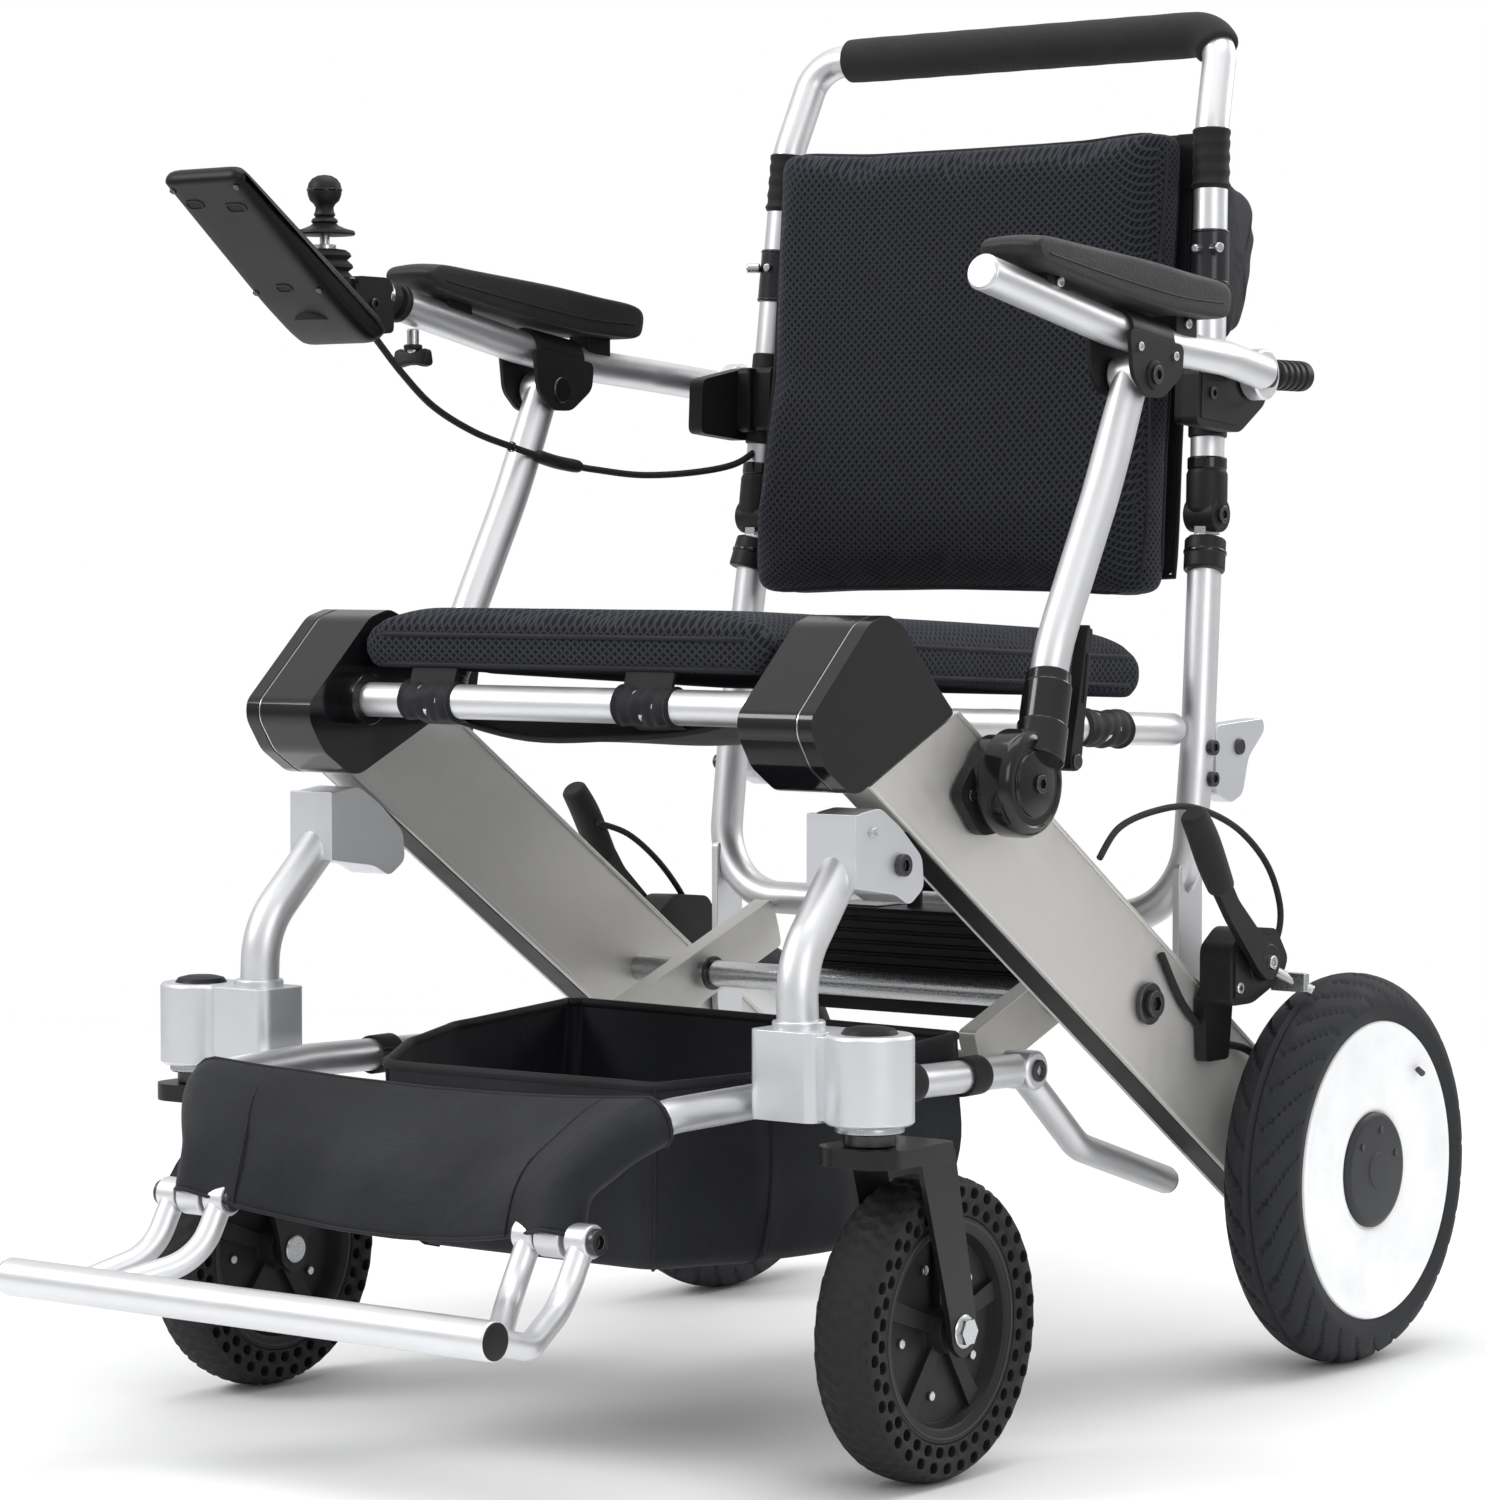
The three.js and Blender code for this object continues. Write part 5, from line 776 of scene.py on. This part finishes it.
def seat_limit(a, s):
    bottom = 466.5 - (a[:, 1] - 190) * 0.0620 + 3.0
    a[:, 2] = np.maximum(a[:, 2], bottom + 1.5)
    top = 537.5 - np.clip((a[:, 1] + 230) / 400, 0, 1) * 18
    a[:, 2] = np.minimum(a[:, 2], top)
    w = np.where(a[:, 1] < -118, 175.2, 193.0); w = np.where((a[:, 1] >= -118) & (a[:, 1] < -100), 175.2 + (a[:, 1] + 118) / 18 * 17.8, w)
    a[:, 0] = np.clip(a[:, 0], -w, w); a[:, 1] = np.clip(a[:, 1], -257, 190)
    return a
seat = puff("seat_cushion_pad", sv, 5.5, 4.0, 8.5, seat_limit, smooth=2)
lp1 = section_loop(seat.data, P(0, -30, 509.5), (0, 0.046, 1)); lp2 = section_loop(seat.data, P(0, -30, 490.0), (0, 0.046, 1))
pad_dress(seat, "mesh", "base_frame", ["seat_cushion"])
emit("seat_piping", [(sweep(lp1, 1.7, 10, closed=True), "binding"), (sweep(lp2, 1.7, 10, closed=True), "binding")], "base_frame")
# rows for a side band between the two rows of piping; nothing calls this, so no band is made
def band(l1, l2, out=0.5):
    n = len(l1); c = sum(l1, Vector()) / n; rows = [[], []]
    for k in range(n):
        a = l1[k]; b = min(l2, key=lambda q: (q - a).length_squared)
        for row, p in zip(rows, (a, b)): row.append(p)
    return rows

# back cushion
def back_section(z, half, y0, y1, crown):
    e = 10
    return [(x, y, z) for x, y in ((-half, y0 + e), (-half + e * 1.3, y0), (-half * .5, y0 - crown), (0, y0 - crown * 1.2), (half * .5, y0 - crown), (half - e * 1.3, y0), (half, y0 + e), (half, y1 - e), (half - e, y1), (half * .5, y1), (0, y1), (-half * .5, y1), (-half + e, y1), (-half, y1 - e))]
bv = loft([back_section(540, 170, 194, 232, 0), back_section(548, 174, 190, 236, 1), back_section(600, 175, 191, 240, 2), back_section(700, 175, 208, 249, 2), back_section(800, 174, 215, 257, 2), back_section(864, 173, 219, 262, 1), back_section(872, 170, 223, 260, 0)])
def back_limit(a, s):
    z = a[:, 2]; rear = np.interp(z, [537, 545, 600, 700, 862, 880], [232, 238, 244, 252, 265, 266]) + 1.5; front = np.interp(z, [537, 545, 600, 700, 862, 880], [194, 181, 181, 197, 209, 214])
    a[:, 1] = np.clip(a[:, 1], front, rear)
    w = np.where(a[:, 1] > 232, 173.5, 179.0); a[:, 0] = np.clip(a[:, 0], -w, w); a[:, 2] = np.clip(z, 536, 877); return a
back = puff("back_cushion_pad", bv, 5.5, 4.0, 7.5, back_limit, smooth=2)
no = Vector((0, 1.0, -0.112)).normalized()
bl1 = section_loop(back.data, P(0, 216, 700), no); bl2 = section_loop(back.data, P(0, 241, 700), no)
pad_dress(back, "mesh", "back_frame", ["back_cushion"])
emit("back_piping", [(sweep(bl1, 1.7, 10, closed=True), "binding"), (sweep(bl2, 1.7, 10, closed=True), "binding")], "back_frame")

# rear sling of the back, its side flaps and post straps
rows = []
for k in range(25):
    z = 556 + (868 - 556) * k / 24; y = np.interp(z, [537, 545, 600, 700, 862, 880], [232, 238, 244, 252, 265, 266]) + 5
    rows.append([(x, y + 5 * math.sin(math.pi * (z - 556) / 312) * (1 - (x / 168) ** 2) + 0.8 * math.sin(x / 19 + z / 31), z) for x in np.linspace(-166, 166, 29)])
emit("back_sling", [(sheet(rows), "nylon")], "back_frame", solid=2.2, sub=1)
edge = [rows[k][0] for k in range(25)] + rows[24][1:-1] + [rows[k][-1] for k in range(24, -1, -1)] + rows[0][-2:0:-1]
emit("back_sling_binding", [(sweep(edge, 2.3, 10, closed=True), "binding")], "back_frame")
pk = [[(x, 259 + 14 * math.sin(math.pi * min(1, max(0, (z - 590) / 190))) * 0.6 + 9 * math.cos(math.pi * x / 270) + (z - 590) * 0.094, z) for x in np.linspace(-125, 125, 21)] for z in np.linspace(590, 780, 15)]
emit("back_pocket", [(sheet(pk), "nylon")], "back_frame", solid=2.0, sub=1)
pe = [pk[k][0] for k in range(15)] + pk[14][1:-1] + [pk[k][-1] for k in range(14, -1, -1)] + pk[0][-2:0:-1]
emit("back_pocket_binding", [(sweep(pe, 2.2, 10, closed=True), "binding")], "back_frame")
for side, s in SIDES:
    rr = []
    pth = [Vector(post_at(z)) for z in np.linspace(829, 872, 15)]
    emit(f"post_strap_{side}", [(sweep(pth, [13.0 + 0.5 * math.sin(k * 1.9) + (0.7 if k in (1, 13) else 0) for k in range(15)], 40), "webbing"),
        (sheet([[(186 - 14 + 0 * j, 262 + 12 - j * 3, z) for j in range(4)] for z in np.linspace(831, 870, 5)]), "webbing"),
        (sheet([[(174.5 - j * 6, 250 + 12 + j * 0.7, z) for j in range(4)] for z in np.linspace(831, 870, 5)]), "webbing")], "back_frame", s)
    fo = catmull([(264, 828), (284, 831), (300, 826), (307, 817), (304, 806), (308, 797), (305, 784), (303, 772), (297, 760), (294, 747), (287, 734), (276, 729), (264, 731)], 4, True)
    rws = []
    for x, k in ((176.5, 0.80), (177.5, 0.92), (181, 1.0), (186, 1.02), (191, 1.0), (194.5, 0.92), (195.5, 0.80)): rws.append([(x + 0.6 * math.sin(p.y / 7), 282 + (p.x - 282) * k, 780 + (p.y - 780) * (1 - (1 - k) * 0.5)) for p in fo])
    emit(f"back_side_flap_{side}", [(loft(rws), "nylon")], "back_frame", s, sub=1)
    fe = [(186, 282 + (p.x - 282) * 1.035, p.y) for p in fo]
    emit(f"back_flap_binding_{side}", [(sweep(fe, 1.8, 10, closed=True), "binding")], "back_frame", s)

# seat sling below the cushion, hung between the rails
rows = []
for k in range(25):
    y = -226 + (190 + 226) * k / 24; zr = np.interp(y, [-241, -90, 205], [475.5, 461.5, 449.5])
    rows.append([(x, y, zr + 8 - 30 * (1 - (x / 177) ** 2) * (0.55 + 0.45 * math.cos(math.pi * (y + 226) / 416)) + 1.2 * math.sin(x / 23 + y / 37)) for x in np.linspace(-177, 177, 29)])
emit("seat_sling", [(sheet(rows), "nylon")], "base_frame", solid=2.2, sub=1)
edge = [rows[k][0] for k in range(25)] + rows[24][1:-1] + [rows[k][-1] for k in range(24, -1, -1)] + rows[0][-2:0:-1]
emit("seat_sling_binding", [(sweep(edge, 2.6, 10, closed=True), "binding")], "base_frame")
def wrap(name, path, body, s=1, r=12.6):
    """fabric twisted round a tube"""
    Q = [Vector(p) for p in path]; n = 36; verts = []; faces = []; m = len(Q)
    for i, c in enumerate(Q):
        T = (Q[min(i + 1, m - 1)] - Q[max(i - 1, 0)]).normalized(); u = Vector((0, 0, 1)); u = (u - T * u.dot(T)).normalized(); w = T.cross(u); t = i / (m - 1)
        for k in range(n):
            a = 2 * math.pi * k / n; rr = r + 0.9 * math.sin(3 * a + t * 9) * math.sin(math.pi * t) + 0.5 * math.sin(t * 31 + a) + (1.1 if i in (1, m - 2) else 0) - (1.4 if i in (0, m - 1) else 0)
            verts.append(tuple(c + u * (rr * math.cos(a)) + w * (rr * math.sin(a))))
    for i in range(m - 1):
        for k in range(n): faces.append((i * n + k, i * n + (k + 1) % n, (i + 1) * n + (k + 1) % n, (i + 1) * n + k))
    return (verts, faces)
for nm, x0, x1 in (("outer", -130, -84), ("inner", 50, 97)):
    parts = [(wrap(nm, [(x, -241, 475.5) for x in np.linspace(x0, x1, 22)], "base_frame"), "binding"),
             (loft([[(x0 + 4, -245 + j * 2, 484 + j * 6), (x1 - 4, -245 + j * 2, 484 + j * 6), (x1 - 4, -242 + j * 2, 484 + j * 6), (x0 + 4, -242 + j * 2, 484 + j * 6)] for j in range(4)]), "webbing"),
             (sheet([[(x0 + 3 + (x1 - x0 - 6) * q / 4, -236 + j * 11, 463.5 + j * 2.0 - (6 if 0 < j < 5 else 0)) for q in range(5)] for j in range(6)]), "webbing")]
    emit(f"front_tube_wrap_{nm}", parts, "base_frame", bevel=None)
for side, s in SIDES:
    pth = [(190, y, np.interp(y, [-90, 205], [461.5, 449.5])) for y in np.linspace(79, 137, 24)]
    emit(f"rail_wrap_{side}", [(wrap("r", pth, "base_frame"), "binding")], "base_frame", s)

# calf strap: a band hung between the lower tubes, wrapped round both
tp = rounded([(187, 20, 227), (187, -280, 235), (182, -384, 233), (147.5, -417, 196), (147, -426, 164)], [0, 60, 30], 3)
tp = [p for p in tp if p.y < -366]
ac = [0.0]
for a, b in zip(tp[:-1], tp[1:]): ac.append(ac[-1] + (b - a).length)
def tube_dir(t):
    e = 0.02; d = on_tube(min(1.0, t + e)) - on_tube(max(0.0, t - e)); return d.normalized()
def on_tube(t):
    q = t * ac[-1]; i = max(0, min(len(tp) - 2, next((j for j in range(len(ac) - 1) if ac[j + 1] >= q), len(tp) - 2))); return tp[i].lerp(tp[i + 1], (q - ac[i]) / max(1e-6, ac[i + 1] - ac[i]))
rows = []
for j in range(13):
    t = 0.05 + 0.93 * j / 12; c = on_tube(t); row = []
    r = 15.4 + 0.25 * math.sin(j * 1.3); T = tube_dir(t); U = Vector((1, 0, 0)); U = (U - T * U.dot(T)).normalized(); V = U.cross(T)
    for k in range(11):                         # round the near tube: from inside, behind, outside, to the front
        a = math.radians(185 - 260 * k / 10 - 20); row.append(tuple(c + U * (r * math.cos(a)) + V * (r * math.sin(a))))
    x1 = row[-1][0]; y1 = row[-1][1]; z1 = row[-1][2]; N = 34
    for k in range(1, N):
        u = 1 - 2 * k / N; sag = (1 - u * u)
        cr = 1.6 * math.sin(9 * u + j * 0.42) * math.exp(-((abs(u) - 0.75) / 0.2) ** 2) + 1.1 * math.sin(17 * u + j * 0.8) * sag * 0.5
        row.append((x1 * u, y1 + 24 * sag + cr, z1 - (10 + 9 * j / 12) * sag))
    row += [(-p[0], p[1], p[2]) for p in row[10::-1]]
    rows.append(row)
emit("calf_strap_band", [(sheet(rows), "nylon")], "front_frame_body", solid=2.0, sub=1, replaces=["calf_strap"])
emit("calf_strap_binding", [(sweep(rows[0], 1.5, 10), "binding"), (sweep(rows[-1], 1.5, 10), "binding")], "front_frame_body")
st = [(rows[j][14][0], rows[j][14][1] - 1.6, rows[j][14][2]) for j in range(13)]
emit("calf_strap_stitch", [(sweep(st, 0.8, 8), "binding"), (sweep([(-p[0], p[1], p[2]) for p in st], 0.8, 8), "binding")], "front_frame_body")

# basket: sewn open bag with a bound rim
plan0 = [(-112, -290), (112, -290), (150, -215), (167, -150), (167, -30), (160, -22), (-160, -22), (-167, -30), (-167, -150), (-150, -215)]
pl = soften(plan0, 16, 5); npl = len(pl)
lev = [(118, .80, .80, 0), (120, .86, .86, 0), (127, .915, .915, 0), (150, .965, .965, 0), (185, 1.0, 1.0, 0), (215, 1.0, 1.0, 6), (240, 1.0, 1.0, 14)]
def level(z, k, dy, lift, off=0.0):
    out = []
    for i, (x, y) in enumerate(pl):
        wob = 1.3 * math.sin(i * 0.9 + z * 0.05) * (0.3 + 0.7 * (z > 125)) - 3.4 * math.sin(math.pi * max(0, min(1, (z - 126) / 114))) * math.cos(i * 0.33)
        kk = k + (wob - off) / 170
        out.append((x * kk, -156 + (y + 156) * (dy + (wob - off) / 140), z + lift * (y + 290) / 268 + (1.6 * math.sin(x / 34.0) - 2.5 * (1 - (x / 170) ** 2) if z > 235 else 0)))
    return out
L1 = []
for a, b in zip(lev[:-1], lev[1:]):
    for t in (0, 0.5): L1.append(tuple(a[i] + (b[i] - a[i]) * t for i in range(4)))
L1.append(lev[-1])
outer = [level(*q) for q in L1]; inner = [level(q[0] + (3 if q[0] < 130 else 0), q[1], q[2], q[3], 3.2) for q in L1]
fc = sum((Vector(p) for p in outer[0]), Vector()) / npl
floor_r = [[(fc.x + (p[0] - fc.x) * k, fc.y + (p[1] - fc.y) * k, p[2] - 4.0 * (1 - k * k)) for p in outer[0]] for k in (0.02, 0.3, 0.6, 0.85)]
floor_i = [[(p[0], p[1], p[2] + 3.0) for p in r] for r in floor_r]
emit("basket_bag", [(loft(floor_r + outer, caps=False), "nylon"), (loft(floor_i + inner, caps=False), "nylon")], "front_frame_body", sub=1, replaces=["basket"])
rim = [((Vector(a) + Vector(b)) / 2) for a, b in zip(outer[-1], inner[-1])]
hem = [Vector(p) for p in level(226, 1.0, 1.0, 11, -0.9)]
emit("basket_rim", [(sweep(rim, 3.4, 12, closed=True), "binding"), (sweep(hem, 0.8, 8, closed=True), "binding")], "front_frame_body")
parts = []
for ci in (0, 1, 2, 5, 6, 9):
    i = ci * 6 + 3; seam = [Vector(r[i]) for r in outer]; parts.append((sweep(seam, 1.3, 8), "binding"))
emit("basket_seams", parts, "front_frame_body")
parts = []
for s in (1, -1):
    for y in (-205, -120, -45):
        zz0 = 227 + (20 - y) * 8 / 300; ring_ = []
        xb = {-205: 153.5, -120: 166.5, -45: 166.5}[y]
        ringp = [(s * (187 + 12.4 * math.cos(a)), zz0 + 12.4 * math.sin(a)) for a in np.linspace(-2.6, 2.75, 22)]
        ringp = [(s * (xb + 1.5), zz0 - 6)] + ringp + [(s * (xb + 1.5), zz0 + 8)]
        parts.append((sheet([[(x, y - 10 + 20 * q / 3, z) for x, z in ringp] for q in range(4)]), "webbing"))
emit("basket_hanger_loops", parts, "front_frame_body", solid=1.6)

# ------------------------------------------------------------------ floor, light, camera
sc = bpy.context.scene
floor_rows = []
prof = [(-9, 0.0), (-3, 0.0), (0, 0.0), (3.0, 0.0), (9, 0.0)]
fm = NT("floor_paper"); g = fm.noise(7, 2)
fmat = fm.done(fm.mix(fm.map(g, 0.3, 0.7, 0, 1), (0.905, 0.91, 0.915), (0.93, 0.93, 0.935)), 0.75, 0.0, fm.bump(fm.noise(220, 2), 0.03, 0.0005), Specular_IOR_Level=0.2)
x_, y_, z_ = fm.xyz(); rad = fm.math("SQRT", fm.math("ADD", fm.math("MULTIPLY", x_, x_), fm.math("MULTIPLY", y_, y_)))
tr = fm.n("ShaderNodeBsdfTransparent"); mxs = fm.n("ShaderNodeMixShader"); fm.put(mxs.inputs[0], fm.map(rad, 0.9, 2.6, 0.0, 1.0)); fm.t.links.new(fm.b.outputs[0], mxs.inputs[1]); fm.t.links.new(tr.outputs[0], mxs.inputs[2]); fm.t.links.new(mxs.outputs[0], fm.t.nodes["Material Output"].inputs["Surface"])
me = bpy.data.meshes.new("floor"); me.from_pydata([(-30, -30, 0), (30, -30, 0), (30, 30, 0), (-30, 30, 0)], [], [(0, 1, 2, 3)]); me.materials.append(fmat)
floor = bpy.data.objects.new("floor", me); sc.collection.objects.link(floor)
w = bpy.data.worlds.new("studio"); sc.world = w; w.use_nodes = True
wt = w.node_tree; bg = wt.nodes["Background"]
# white all round; a little darker towards the horizon for reflections only
lp = wt.nodes.new("ShaderNodeLightPath"); tcn = wt.nodes.new("ShaderNodeTexCoord"); sx = wt.nodes.new("ShaderNodeSeparateXYZ"); wt.links.new(tcn.outputs["Generated"], sx.inputs[0])
mr = wt.nodes.new("ShaderNodeMapRange"); wt.links.new(sx.outputs[2], mr.inputs[0]); mr.inputs[1].default_value = -0.1; mr.inputs[2].default_value = 0.9; mr.inputs[3].default_value = 0.42; mr.inputs[4].default_value = 0.95
mm = wt.nodes.new("ShaderNodeMix"); mm.data_type = "FLOAT"; wt.links.new(lp.outputs["Is Camera Ray"], mm.inputs[0]); wt.links.new(mr.outputs[0], mm.inputs[2]); mm.inputs[3].default_value = 1.0
bg.inputs[0].default_value = (1, 1, 1, 1); wt.links.new(mm.outputs[0], bg.inputs[1])
def area(name, loc, target, size, power, color=(1, 1, 1), sy=None):
    l = bpy.data.lights.new(name, "AREA"); l.energy = power; l.size = size; l.color = color
    if sy: l.shape = "RECTANGLE"; l.size_y = sy
    o = bpy.data.objects.new(name, l); sc.collection.objects.link(o); o.location = loc
    o.rotation_euler = (Vector(target) - Vector(loc)).to_track_quat("-Z", "Y").to_euler(); return o
area("key", (-1.9, -2.4, 2.5), (0, 0, 0.45), 1.3, 48)
area("fill", (2.9, -1.4, 1.4), (0, 0, 0.45), 1.4, 17)
area("top", (0.2, 0.3, 3.2), (0, 0, 0.3), 2.2, 34)
area("rim", (1.2, 2.6, 1.8), (0, 0, 0.5), 1.2, 20)
cam = bpy.data.cameras.new("camera"); cam.lens = 110.2; cam.sensor_width = 36; cam.clip_start = 0.05; cam.clip_end = 100
co_ = bpy.data.objects.new("camera", cam); sc.collection.objects.link(co_)
co_.location = (1.8734, -2.4908, 0.5792); co_.rotation_euler = (math.radians(90 - 2.5688), 0, math.radians(36.7766)); sc.camera = co_
sc.view_settings.view_transform = "Standard"; sc.view_settings.look = "None"; sc.view_settings.exposure = 0.0
